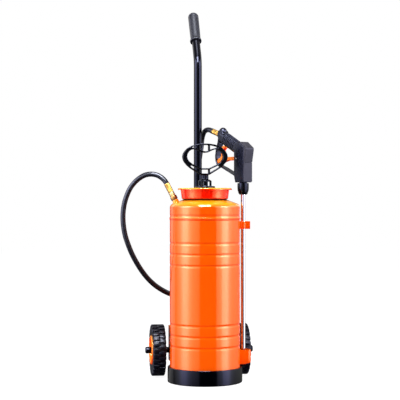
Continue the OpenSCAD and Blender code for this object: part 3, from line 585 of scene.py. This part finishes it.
# The boss's paint is a lit copy of the orange paint: lighter and yellower, as painted top light
toplitBossPaint = glossPaint("toplitBossPaint", *paints["boss"], roughness=0.12, peel=0.008, tint=(1, 0.97, 0.6))
hubPaint = glossPaint("hubPaint", *paints["hub"], roughness=0.2, peel=0.04)
triggerPlastic = glossPaint("triggerPlastic", *paints["trigger"], roughness=0.18, level=0.4, peel=0.04)
polePaint = glossPaint("polePaint", *paints["pole"], roughness=0.08, level=0.42, index=1.22, tint=coolTint)
bootRubber = mouldedPlastic("bootRubber", (0.0004, 0.0004, 0.0012), 0.12, grain=0.02, scale=900, tone=0.8, level=0.16,
                            tint=(0.62, 0.66, 1))
blackPlastic = mouldedPlastic("blackPlastic", (0.0022, 0.0022, 0.0032), 0.2, grain=0.05, scale=1100, tone=0.8,
                              level=0.15, tint=coolTint)
innerPlastic = mouldedPlastic("innerPlastic", linear(222, 222, 214), 0.4)
gunPlastic = mouldedPlastic("gunPlastic", (0.0038, 0.0042, 0.0095), 0.24, grain=0.08, scale=1200, tone=0.8, level=0.2,
                            tint=coolTint)
greyPlastic = mouldedPlastic("greyPlastic", linear(58, 57, 65), 0.4, grain=0.2, scale=1200, tone=0.85, level=0.06,
                             tint=coolTint)
brass = metal("brass", linear(158, 122, 60), 0.36, (1, 1, 6), lines=0.2)
darkBrass = metal("darkBrass", linear(150, 112, 66), 0.3, (1, 1, 6), lines=0.6, stain=0.6)
paleBrass = metal("paleBrass", linear(160, 138, 98), 0.38, (1, 1, 6))
polishedSteel = metal("polishedSteel", linear(186, 178, 186), 0.05, (1, 1, 0.05), lines=0.02, stain=0.95)
zincSteel = metal("zincSteel", linear(186, 188, 192), 0.28, (4, 1, 1))
barrelSteel = metal("barrelSteel", linear(196, 196, 198), 0.25, (1, 1, 8))
bareSteel = metal("bareSteel", linear(150, 150, 154), 0.35, (2, 2, 1), lines=0.15)
gripFoam = rubber("gripFoam", (0.009, 0.009, 0.013), (0.018, 0.018, 0.025), 0.4, scale=700, grain=0.25, level=0.62,
                  index=1.28)
tyreRubber = rubber("tyreRubber", (0.003, 0.003, 0.008), (0.009, 0.009, 0.015), 0.34, scale=420, grain=0.15, level=0.14)
sealRubber = rubber("sealRubber", linear(22, 22, 24), linear(30, 30, 32), 0.6)
hoseRubber = rubber("hoseRubber", (0.003, 0.003, 0.006), (0.008, 0.008, 0.013), 0.29, scale=800, grain=0.03)
print("materials made")

slotMaterials = {
    "orange_paint": orangePaint, "bare_steel": bareSteel, "boot_rubber": bootRubber, "brass": brass,
    "pale_brass": paleBrass, "inner_plastic": innerPlastic, "pole_paint": polePaint,
    "black_plastic": blackPlastic, "zinc_steel": zincSteel, "grip_foam": gripFoam,
    "tyre_rubber": tyreRubber, "hub_paint": hubPaint, "seal_rubber": sealRubber,
    "barrel_steel": barrelSteel, "polished_steel": polishedSteel, "gun_plastic": gunPlastic,
    "grey_plastic": greyPlastic, "trigger_plastic": triggerPlastic, "hose_rubber": hoseRubber}
slotOf = {part["node"]: part["material_slot"] for part in frame["record"]["subparts"]}
for name, obj in nodes.items():
    obj.data.materials.clear()
    obj.data.materials.append(slotMaterials[slotOf[name]])

hose.data.materials.append(hoseRubber)
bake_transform(hose)
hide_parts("hose")

# The tank, in mm; outlines are pairs of a radius, or what is added to it, and a height
tankSizes = {"radius": 100, "steel": 1.5, "foot": 4, "seam": 459.5, "head": 518, "slope": 20, "knuckle": 14,
             "knuckleZ": 494, "neck": 24, "ridgeZ": 466.0, "ridgeOut": 1.2, "ridgeRound": 0.8, "ridgeTurn": (-20, 85),
             "belowRidge": [(0.05, 459.9), (0.75, 460.7), (1.1, 462.6)],
             "aboveRidge": [(0.1, 467.0), (-0.1, 467.6), (-0.3, 468.6), (-0.65, 470.2), (-0.8, 471.8), (-0.7, 473.0),
                            (-0.4, 474.6), (-0.1, 476.4), (0, 478.4)],
             "rim": [(1.5, -0.45), (0, -0.1), (-2, 0)], "inside": [(84, 502), (96, 488)],
             "grooves": (102.5, 133.5, 164.5, 332, 363, 394), "grooveHalf": 6.2, "grooveDepth": 1, "sides": 192}


def arc(cx, cz, r, first, last, steps=8):  # points on an arc, angles in degrees
    return [(cx + r * math.cos(math.radians(first + (last - first) * i / steps)),
             cz + r * math.sin(math.radians(first + (last - first) * i / steps))) for i in range(steps + 1)]


# A rolled groove in an upright line at radius r
def rolled(r, z, half, depth, steps=16):
    share = [k / steps for k in range(-steps, steps + 1)]
    return [(r - depth * (1 + math.cos(math.pi * k)) / 2, z + half * k) for k in share]


def makeTank():
    t = tankSizes
    outer = [(t["radius"], t["foot"])]
    for z in t["grooves"]:
        outer += rolled(t["radius"], z, t["grooveHalf"], t["grooveDepth"])
    outer.append((t["radius"], t["seam"]))
    inside = t["radius"] - t["steel"] - t["grooveDepth"]
    wall = lathe("tankWall", [*outer, (inside, t["seam"]), (inside, t["foot"])], sides=t["sides"])
    show(smooth(wall), orangePaint, "tank_wall")
    knuckle = arc(t["radius"] - t["knuckle"], t["knuckleZ"], t["knuckle"], 0, 90 - t["slope"], 20)
    rimR = knuckle[-1][0] - (t["head"] - knuckle[-1][1]) / math.tan(math.radians(t["slope"]))
    line = [(t["radius"] + out, z) for out, z in [(0, t["seam"]), *t["belowRidge"]]]
    line += arc(t["radius"] + t["ridgeOut"] - t["ridgeRound"], t["ridgeZ"], t["ridgeRound"], *t["ridgeTurn"], 10)
    line += [(t["radius"] + out, z) for out, z in t["aboveRidge"]] + knuckle
    line += [(rimR + out, t["head"] + up) for out, up in t["rim"]] + [(t["neck"], t["head"])]
    line += [(t["neck"], t["head"] - t["steel"]), (rimR, t["head"] - 2 * t["steel"]), *t["inside"]]
    line.append((t["inside"][-1][0], t["seam"]))
    show(smooth(lathe("tankHead", line, sides=t["sides"])), headPaint, "tank_head")


# The open funnel on the head, and the neck ring inside it
funnelSizes = {"floorZ": 518, "steel": 1.5, "corner": 6, "wallR": 66.4, "topR": 69.6, "lipZ": 550.5, "lipR": 77,
               "lipRound": 3.6, "lipDrop": 5, "middleR": 28.05, "ring": (24, 28, 543, 1.2),
               "underLip": [(-0.6, -3), (0, -1.6), (1.6, 0)],
               "overLip": [(1, 0), (-0.6, -0.4), (-1.8, -1.2), (-2.4, -3)]}


def makeFunnel():
    g = funnelSizes
    floorZ, corner, lipZ, lipR, steel = g["floorZ"], g["corner"], g["lipZ"], g["lipR"], g["steel"]
    floorR, cornerZ, underZ = g["wallR"] - corner, floorZ + corner, lipZ - steel
    line = [(g["middleR"], floorZ), (floorR, floorZ), *arc(floorR, cornerZ, corner, -80, 0, 10)]
    line += [(g["topR"] + out, underZ + up) for out, up in g["underLip"]]
    line += [(lipR - 2 * steel, underZ), (lipR - steel, underZ - steel), (lipR - steel, lipZ - g["lipDrop"])]
    line += [(lipR, lipZ - g["lipDrop"]), *arc(lipR - g["lipRound"], lipZ - g["lipRound"], g["lipRound"], 0, 90, 14)]
    line += [(g["topR"] + out, lipZ + up) for out, up in g["overLip"]]
    line += [*arc(floorR, cornerZ, corner - steel, 0, -90, 10), (g["middleR"], floorZ + steel)]
    show(smooth(lathe("funnelShell", line, sides=tankSizes["sides"])), shadedFunnelPaint, "funnel")
    inner, outer, top, edge = g["ring"]
    ring = rounded([(inner, floorZ), (outer, floorZ), (outer, top, edge), (inner, top, edge)])
    show(smooth(lathe("neckRing", ring)), orangePaint, "neck_ring")


bootSizes = {"foot": (104, 2.5), "side": [(106.5, 30), (106.35, 36)], "top": (104.6, 42, 1.5),
             "inside": [(101.2, 43.5), (100.05, 42.6), (100.05, 4), (0, 4)]}


def makeBoot():
    g = bootSizes
    footR, footRound = g["foot"]
    line = [(0, 0), *arc(footR, footRound, footRound, -90, 0), *g["side"], *arc(*g["top"], 0, 90), *g["inside"]]
    show(smooth(lathe("bootShell", line, sides=tankSizes["sides"])), bootRubber, "boot")


makeTank()
makeFunnel()
makeBoot()
print("tank, funnel and boot made")

# The pole and its soft grip, in mm and degrees
poleSizes = {"radius": 12, "y": 147, "foot": 50, "cornerZ": 931, "lean": 35, "bendRadius": 70, "bendSteps": 24,
             "straight": (80, 300, 600), "beforeBend": 40, "afterBend": 20, "length": 187, "endGap": 16, "grip": 112,
             "gripRadius": 15.8, "gripEnd": 12, "gripWall": 15, "fit": 0.05, "sides": 64,
             "collar": [(16.4, 0), (17.1, 0.4), (17.4, 1.3), (17.4, 2.6), (17.2, 4.6), (16.6, 6.6), (15.6, 8.8),
                        (15.1, 11), (15, 14), (15.3, 30), (15.6, 60), (15.8, 86)]}
leanTurn = math.radians(poleSizes["lean"])
leanDir = Vector((0, math.sin(leanTurn), math.cos(leanTurn)))
poleCorner = Vector((0, poleSizes["y"] / 1000, poleSizes["cornerZ"] / 1000))


def makePole():
    p = poleSizes
    run = p["bendRadius"] * math.tan(leanTurn / 2)
    start, y, bend = p["cornerZ"] - run, p["y"], p["bendRadius"]
    line = [Vector((0, y, z)) for z in (p["foot"], *p["straight"], start - p["beforeBend"])]
    for k in range(p["bendSteps"] + 1):
        a = leanTurn * k / p["bendSteps"]
        line.append(Vector((0, y + bend * (1 - math.cos(a)), start + bend * math.sin(a))))
    for along in (run + p["afterBend"], p["length"] - p["endGap"]):
        line.append(Vector((0, y, p["cornerZ"])) + leanDir * along)
    tube = sweepTube("poleTube", [q / 1000 for q in line], p["radius"] / 1000, p["sides"])
    show(smooth(tube, 60), polePaint, "pole")
    mouth = p["length"] - p["grip"]
    place = Matrix.Translation(poleCorner + leanDir * mouth / 1000) @ Matrix.Rotation(-leanTurn, 4, "X")
    bore, end, inside = p["radius"] + p["fit"], p["gripEnd"], p["grip"] - p["gripWall"]
    outline = [(bore, 0), *p["collar"], *arc(p["gripRadius"] - end, p["grip"] - end, end, 0, 90, 14)]
    outline += [(0, p["grip"]), (0, inside), (bore, inside)]
    show(smooth(lathe("gripSleeve", outline, place, p["sides"]), 50), gripFoam, "pole_grip")


makePole()
print("pole and grip made")

# The wheels, in mm; z runs along the axle
wheelSizes = {"x": 123.5, "y": 116, "z": 77, "lugs": 28, "midHalf": 3.5, "edgeHalf": 5.3, "lugRun": 21.5, "draft": 0.05,
              "lugEdge": 0.7,
              "lug": [(68, -2.5), (74.4, -2.5), (75, -1.6), (75, 15.6), (74.2, 17.4), (72.4, 18.6), (66.4, 18.8),
                      (63, 16.8)],
              "side": [(71, 8, 2), (70.2, 16.4, 1), (67, 18.4, 1.5), (60, 18.9, 3), (52, 18.5, 3), (46.5, 17.6, 1.5),
                       (43.6, 16.4, 0.8), (42.5, 13)]}  # radius, z and rounding of the tyre's one side


def onAxle(side):
    middle = Vector((side * wheelSizes["x"], wheelSizes["y"], wheelSizes["z"])) / 1000
    return Matrix.Translation(middle) @ Matrix.Rotation(math.radians(90 * side), 4, "Y")


# One lug of a row, standing on the X axis; row is 1 or -1
def makeLug(row):
    w = wheelSizes
    innerR, innerZ = w["lug"][0]

    def halfWidth(r, z):  # wider towards the tyre's side, a little narrower at the top
        wide = w["midHalf"] + (w["edgeHalf"] - w["midHalf"]) * (z - innerZ) / w["lugRun"]
        return wide - w["draft"] * max(0, r - innerR)

    lug = addSlab("lug", w["lug"], halfWidth, row)
    edge = lug.modifiers.new("edge", "BEVEL")
    edge.width = w["lugEdge"] / 1000
    edge.segments = 2
    edge.limit_method = "ANGLE"
    edge.angle_limit = math.radians(40)
    return settle(lug)


def makeWheel(side, label):
    w, place = wheelSizes, onAxle(side)
    profile = [(r, -z, *edge) for r, z, *edge in reversed(w["side"])] + w["side"]
    carcass = smooth(lathe("carcass" + label, rounded(profile), place, 128))
    step = 2 * math.pi / w["lugs"]
    rows = []
    for row, phase in ((-1, 0), (1, step / 2)):  # the two rows stand half a step apart
        rows.append(smooth(repeated(makeLug(row), tyreRubber, w["lugs"], place, step, phase)))
    tyre = joined(carcass, *rows)
    tyre.name = "tyre" + label
    show(smooth(tyre), tyreRubber, "tyre_" + label.lower())


makeWheel(-1, "Left")
makeWheel(1, "Right")
print("wheels made")

# The lance and its nut, in mm
lanceSizes = {"bore": 4.6, "radius": 6.5, "foot": 68.8, "top": 559.5, "edge": 0.3}
nutSizes = {"ribs": 12, "ribHalf": 1.3, "ribTaper": 0.25, "inside": 14.95,
            "core": [(6.8, 532), (9.6, 532, 0.8), (12.4, 534, 1.5), (14.4, 540, 4), (15.4, 547, 4), (15.4, 565, 0.6),
                     (11.3, 565), (11.3, 543.5), (6.8, 543.5)],
            "rib": [(13.0, 538), (15.0, 541), (16.0, 546), (16.35, 551), (16.4, 563.4), (16.0, 564.4), (14.9, 564.4),
                    (14.9, 547)]}


def makeLance():
    g, place = lanceSizes, Matrix.Translation((lanceX, 0, 0))
    line = [(g["bore"], g["foot"]), (g["radius"], g["foot"], g["edge"]), (g["radius"], g["top"], g["edge"]),
            (g["bore"], g["top"])]
    show(smooth(lathe("lanceTube", rounded(line), place, 96), 60), polishedSteel, "lance")


def makeNut():
    g, place = nutSizes, Matrix.Translation((lanceX, 0, 0))
    core = smooth(lathe("lanceNut", rounded(g["core"]), place, 96))
    rib = addSlab("rib", g["rib"], lambda r, z: g["ribHalf"] - g["ribTaper"] * (r > g["inside"]))
    ribs = smooth(repeated(rib, blackPlastic, g["ribs"], place, 2 * math.pi / g["ribs"]))
    show(smooth(joined(core, ribs)), blackPlastic, "lance_nut")


# Ridges for the palm, across the upper side of the gun's grip
ridgeSizes = {"root": (10, 660), "end": (92, 703), "count": 9, "first": 19, "step": 6.6, "radius": 1.5,
              "deep": 17.0, "wide": 14.5, "corner": 12, "low": -9, "lean": 0.1, "tip": 0.25, "runOut": 6, "sides": 10}


def makeRidges():
    g = ridgeSizes
    root, end = gunPoint(*g["root"]), gunPoint(*g["end"])
    ahead = (end - root).normalized()
    over = Vector((math.sin(gunYaw), math.cos(gunYaw), 0)).cross(ahead)
    over = over if over.z > 0 else -over  # the grip's upper side
    side = ahead.cross(over)
    place = Matrix((*[(over[i], side[i], ahead[i], root[i]) for i in range(3)], (0, 0, 0, 1)))
    turnX, turnY = g["deep"] - g["corner"], g["corner"] - g["wide"]
    line = [(g["low"], -g["wide"]), (turnX, -g["wide"]), *arc(turnX, turnY, g["corner"], -75, 0, 6)]
    line += [(x, -y) for x, y in reversed(line)]
    path = [Vector((x, y, g["first"] + g["lean"] * (x - g["deep"]))) / 1000 for x, y in line]

    def thin(share):  # runs out at both ends
        return g["radius"] / 1000 * min(1, g["tip"] + g["runOut"] * min(share, 1 - share))

    ridge = sweepTube("gripRidges", path, thin, g["sides"])
    ridges = repeated(ridge, gunPlastic, g["count"], place, step=(0, 0, g["step"] / 1000))
    show(smooth(outward(ridges), 60), gunPlastic, body=bodyOf["gun_body"])


makeLance()
makeNut()
makeRidges()
print("lance and grip ridges made")


def fittingPlace(root, direction, along):
    return Matrix.Translation(root + direction * along / 1000) @ direction.to_track_quat("Z", "Y").to_matrix().to_4x4()


# The brass and rubber on the hose's two ends, in mm along each fitting
ferruleSizes = {"radius": 8.06, "bore": 3.5, "edge": 0.5, "collar": 2.6, "step": 1.2, "flutes": 8, "fluteDepth": 0.55,
                "sides": 96, "atTank": (38.5, 66), "atGun": (17, 38)}
sleeveSizes = {"bore": 3.5, "from": 38, "line": [(8.0, 38), (8.1, 40), (8.0, 44)], "endRadius": 7.75, "sides": 64}
couplingSizes = {"from": 27, "sides": 64, "line": [(3.5, 0), (7.4, 0, 0.4), (8.2, 1.5, 0.6), (8.2, 9.5, 0.8),
                                                   (7.2, 11.5, 0.6), (3.5, 11.5)]}


# A ferrule that is crimped along its length, between two plain collars
def makeFerrule(name, root, direction, first, last, node):
    g, length = ferruleSizes, last - first
    r, collar, edge = g["radius"], g["collar"], g["edge"]
    half = [(g["bore"], 0), (r - edge, 0), (r, edge), (r, collar), (r, collar + g["step"])]
    outline = [*half, (r, length / 2), *((across, length - z) for across, z in reversed(half))]
    piece = lathe(name, outline, sides=g["sides"])
    for point in piece.data.vertices:
        x, y, z = point.co * 1000
        if collar + edge < z < length - collar - edge and math.hypot(x, y) > r - edge / 2:
            cut = g["fluteDepth"] * (1 + math.cos(g["flutes"] * math.atan2(y, x))) / 2
            point.co.xy *= 1 - cut / r
    piece.data.transform(fittingPlace(root, direction, first))
    show(smooth(piece, 50), brass, node)


def makeSleeve():
    g, end = sleeveSizes, fittingLength * 1000
    line = [(g["bore"], g["from"]), *g["line"], (g["endRadius"], end), (g["bore"], end)]
    sleeve = lathe("hoseSleeve", line, fittingPlace(fittingRoot, fittingDir, 0), g["sides"])
    show(smooth(sleeve, 50), hoseRubber, "gun_ferrule")


def makeCoupling():
    g = couplingSizes
    place = fittingPlace(outletBase, outletDir, g["from"])
    show(smooth(lathe("coupling", rounded(g["line"]), place, g["sides"])), paleBrass, "hose_coupling")


makeFerrule("tankFerrule", outletBase, outletDir, *ferruleSizes["atTank"], "tank_ferrule")
makeFerrule("gunFerrule", fittingRoot, fittingDir, *ferruleSizes["atGun"], "gun_ferrule")
makeSleeve()
makeCoupling()
print("fittings made")

# Moulded skins: the size of their faces and how far they are swollen, in mm
skins = {"pump_handle": (0.65, 0.3), "gun_body": (1.0, 0.1), "gun_hood": (0.7, 0.1), "gun_spine": (0.5, 0.1),
         "trigger": (0.7, 0.1), "pump_cap": (0.7, 0.1)}
edges = {  # width of each piece's rounded edges, in mm
    "lance_clip": 0.5, "lance_pocket": 0.6, "axle_bracket": 0.7, "pole_standoff": 0.8, "outlet_nut": 0.4,
    "nozzle_cap": 0.4, "nozzle_body": 0.4, "pole_bolt_low": 0.3, "pole_bolt_high": 0.3, "hub_left": 0.5,
    "hub_right": 0.5, "axle_cap_left": 0.5, "axle_cap_right": 0.5, "gun_fitting": 0.3, "spacer_left": 0.4,
    "spacer_right": 0.4, "outlet_boss": 0.5}
ownMaterials = {"outlet_nut": darkBrass, "outlet_boss": toplitBossPaint}
for name, (cell, swell) in skins.items():
    show(moulded(name, cell, swell), slotMaterials[slotOf[name]], name)
for name, width in edges.items():
    show(bevelled(name, width), ownMaterials.get(name, slotMaterials[slotOf[name]]), name)
print("edges rounded")

# The studio that it stands in
room = {"floorHalf": 9.0, "floorZ": -0.0005, "floorColour": (0.45, 0.45, 0.46), "floorGlow": 1.4, "floorShadow": 0.35,
        "skyLight": 0.5, "skyFade": (-0.05, 0.6, 0.06, 0.7)}


# White to the camera, with the object's soft shadow; shiny things don't see the floor
def makeFloor():
    h, z = room["floorHalf"], room["floorZ"]
    floor = addMesh("floor", [(-h, -h, z), (h, -h, z), (h, h, z), (-h, h, z)], [(0, 1, 2, 3)])
    f = Finish("floorWhite", {"Roughness": 0.9, "Base Color": room["floorColour"]})
    camera, glossy, clear = (f.node("ShaderNodeLightPath", {}, out="Is " + ray + " Ray")
                             for ray in ("Camera", "Glossy", "Transmission"))
    seen = f.node("ShaderNodeClamp", {}, camera + glossy + clear)
    floor.data.materials.append(f.light((1, 1, 1), room["floorGlow"], seen * (1 - room["floorShadow"])))
    floor.visible_glossy = False


# White to the camera; shiny things see it fade to dark below the horizon
def makeWorld():
    world = bpy.data.worlds.new("studio")
    bpy.context.scene.world = world
    world.use_nodes = True
    tree = world.node_tree
    tree.nodes.clear()
    put, link = tree.nodes.new, tree.links.new
    result, path, where = put("ShaderNodeOutputWorld"), put("ShaderNodeLightPath"), put("ShaderNodeTexCoord")
    height, fade = put("ShaderNodeSeparateXYZ"), put("ShaderNodeMapRange")
    link(where.outputs["Generated"], height.inputs[0])
    link(height.outputs[2], fade.inputs[0])
    for index, value in enumerate(room["skyFade"], 1):
        fade.inputs[index].default_value = value
    skies = {}
    for label, strength in (("lit", room["skyLight"]), ("shine", 1.0), ("seen", 1.0)):
        skies[label] = put("ShaderNodeBackground")
        skies[label].inputs[0].default_value = (1, 1, 1, 1)
        skies[label].inputs[1].default_value = strength
    link(fade.outputs[0], skies["shine"].inputs[1])
    unseen, whole, seen = put("ShaderNodeMixShader"), put("ShaderNodeMixShader"), put("ShaderNodeMath")
    seen.operation = "ADD"
    seen.use_clamp = True
    link(path.outputs["Is Camera Ray"], seen.inputs[0])
    link(path.outputs["Is Transmission Ray"], seen.inputs[1])
    link(path.outputs["Is Glossy Ray"], unseen.inputs[0])
    link(skies["lit"].outputs[0], unseen.inputs[1])
    link(skies["shine"].outputs[0], unseen.inputs[2])
    link(seen.outputs[0], whole.inputs[0])
    link(unseen.outputs[0], whole.inputs[1])
    link(skies["seen"].outputs[0], whole.inputs[2])
    link(whole.outputs[0], result.inputs[0])


# Glowing panels that only shiny surfaces see. The bands stand upright round the object: the angle from the front
# towards the lance's side, and the strength, which fade changes with the height. Tilted panels are given by x and
# width, the y and z of their lower and upper edge, and strength.
panels = {
    "radius": 2.6, "low": -0.8, "high": 2.4, "stepDegrees": 4,
    "dimColour": (0.98, 0.97, 0.94), "brightColour": (0.97, 0.95, 1.18), "dimToBright": (1.5, 9.0),
    "fade": [(0.0, 0.3), (0.1, 0.5), (0.2, 0.72), (0.3, 0.82), (0.38, 1.0), (0.46, 1.0), (0.57, 1.7), (0.68, 2.1),
             (1.0, 2.5)],
    "bands": [(-160, 0.4), (-147, 1.1), (-125, 1.3), (-119.4, 1.3), (-118.6, 0.05), (-115.4, 0.05), (-114.6, 1.1),
              (-108, 1.4), (-94, 3.8), (-81, 9.6), (-69, 10.4), (-58, 5.9), (-47, 3.5), (-37, 2.6), (-27, 1.7),
              (-25.5, 1.5), (-24.5, 0.1), (-18, 0), (24, 0), (28, 0.2), (29.5, 2.4), (32, 2.9), (43, 4.8),
              (46.5, 5.4), (48, 9.4), (54, 10.4), (66, 11.4), (79, 4.2), (93, 2.0), (110, 1.1), (133, 0.4),
              (160, 0.1)],
    "tilted": {"topPanel": (0, 0.9, (-1.05, 2.9), (0.05, 2.9), 15.0),
               "stripPanel0": (-0.29, 1.3, (-1.95, 2.1), (-1.1, 2.72), 95.0),
               "stripPanel1": (-0.2, 0.9, (-1.0, 2.76), (-0.5, 2.85), 12.0)}}


# Hangs a panel where only reflections show it
def hang(panel, material):
    panel.data.materials.append(material)
    panel.visible_camera = panel.visible_diffuse = panel.visible_shadow = panel.visible_transmission = False


def bandGlow():  # the strength is in the panels' own u, the height in their v
    f = Finish("bandGlow")
    where = f.node("ShaderNodeUVMap", {"uv_map": "alongAndRound"})
    strength, height = f.part(where, 0), f.part(where, 1)
    halved = [(at, share / 2) for at, share in panels["fade"]]  # doubled again behind the ramp
    faded = strength * f.node("ShaderNodeValToRGB", {"stops": halved}, height) * 2.0
    bright = f.spread(strength, *panels["dimToBright"])
    return f.light(f.blend(bright, panels["dimColour"], panels["brightColour"]), faded)


def makePanels():
    columns = []
    for (a0, s0), (a1, s1) in zip(panels["bands"], panels["bands"][1:]):
        steps = max(1, round((a1 - a0) / panels["stepDegrees"]))
        columns += [(a0 + (a1 - a0) * k / steps, s0 + (s1 - s0) * k / steps) for k in range(steps)]
    columns.append(panels["bands"][-1])
    points, faces, uv = [], [], []
    for angle, _ in columns:
        x, y = panels["radius"] * math.sin(math.radians(angle)), -panels["radius"] * math.cos(math.radians(angle))
        points += [(x, y, panels["low"]), (x, y, panels["high"])]
    for i, ((_, first), (_, last)) in enumerate(zip(columns, columns[1:])):
        faces.append((2 * i, 2 * i + 2, 2 * i + 3, 2 * i + 1))
        uv += [(first, 0), (last, 0), (last, 1), (first, 1)]
    hang(addMesh("sidePanels", points, faces, uv), bandGlow())
    for name, (x, wide, (y0, z0), (y1, z1), strength) in panels["tilted"].items():
        left, right = x - wide / 2, x + wide / 2
        corners = [(left, y0, z0), (right, y0, z0), (right, y1, z1), (left, y1, z1)]
        hang(addMesh(name, corners, [(0, 1, 2, 3)]), Finish(name + "Glow").light((1, 1, 1), strength))


lampTarget = Vector((0, 0, 0.5))
lamps = {  # place, width, height and power of the lamps round it
    "lampLeft": ((-2.5, -0.9, 1.0), 1.2, 1.8, 58), "lampRight": ((2.5, -0.5, 1.0), 1.2, 1.8, 58),
    "lampTop": ((0, -0.2, 2.6), 1.8, 1.8, 46)}


def makeLamps():
    for name, (place, wide, high, power) in lamps.items():
        data = bpy.data.lights.new(name, "AREA")
        data.shape = "RECTANGLE"
        data.size, data.size_y = wide, high
        data.energy = power
        lamp = bpy.data.objects.new(name, data)
        lamp.location = place
        lamp.rotation_euler = (lampTarget - Vector(place)).to_track_quat("-Z", "Y").to_euler()
        lamp.visible_glossy = False
        lamp.visible_camera = False
        bpy.context.scene.collection.objects.link(lamp)


makeFloor()
makeWorld()
makePanels()
makeLamps()
bpy.context.scene.view_settings.view_transform = "Standard"
print("stage lit")
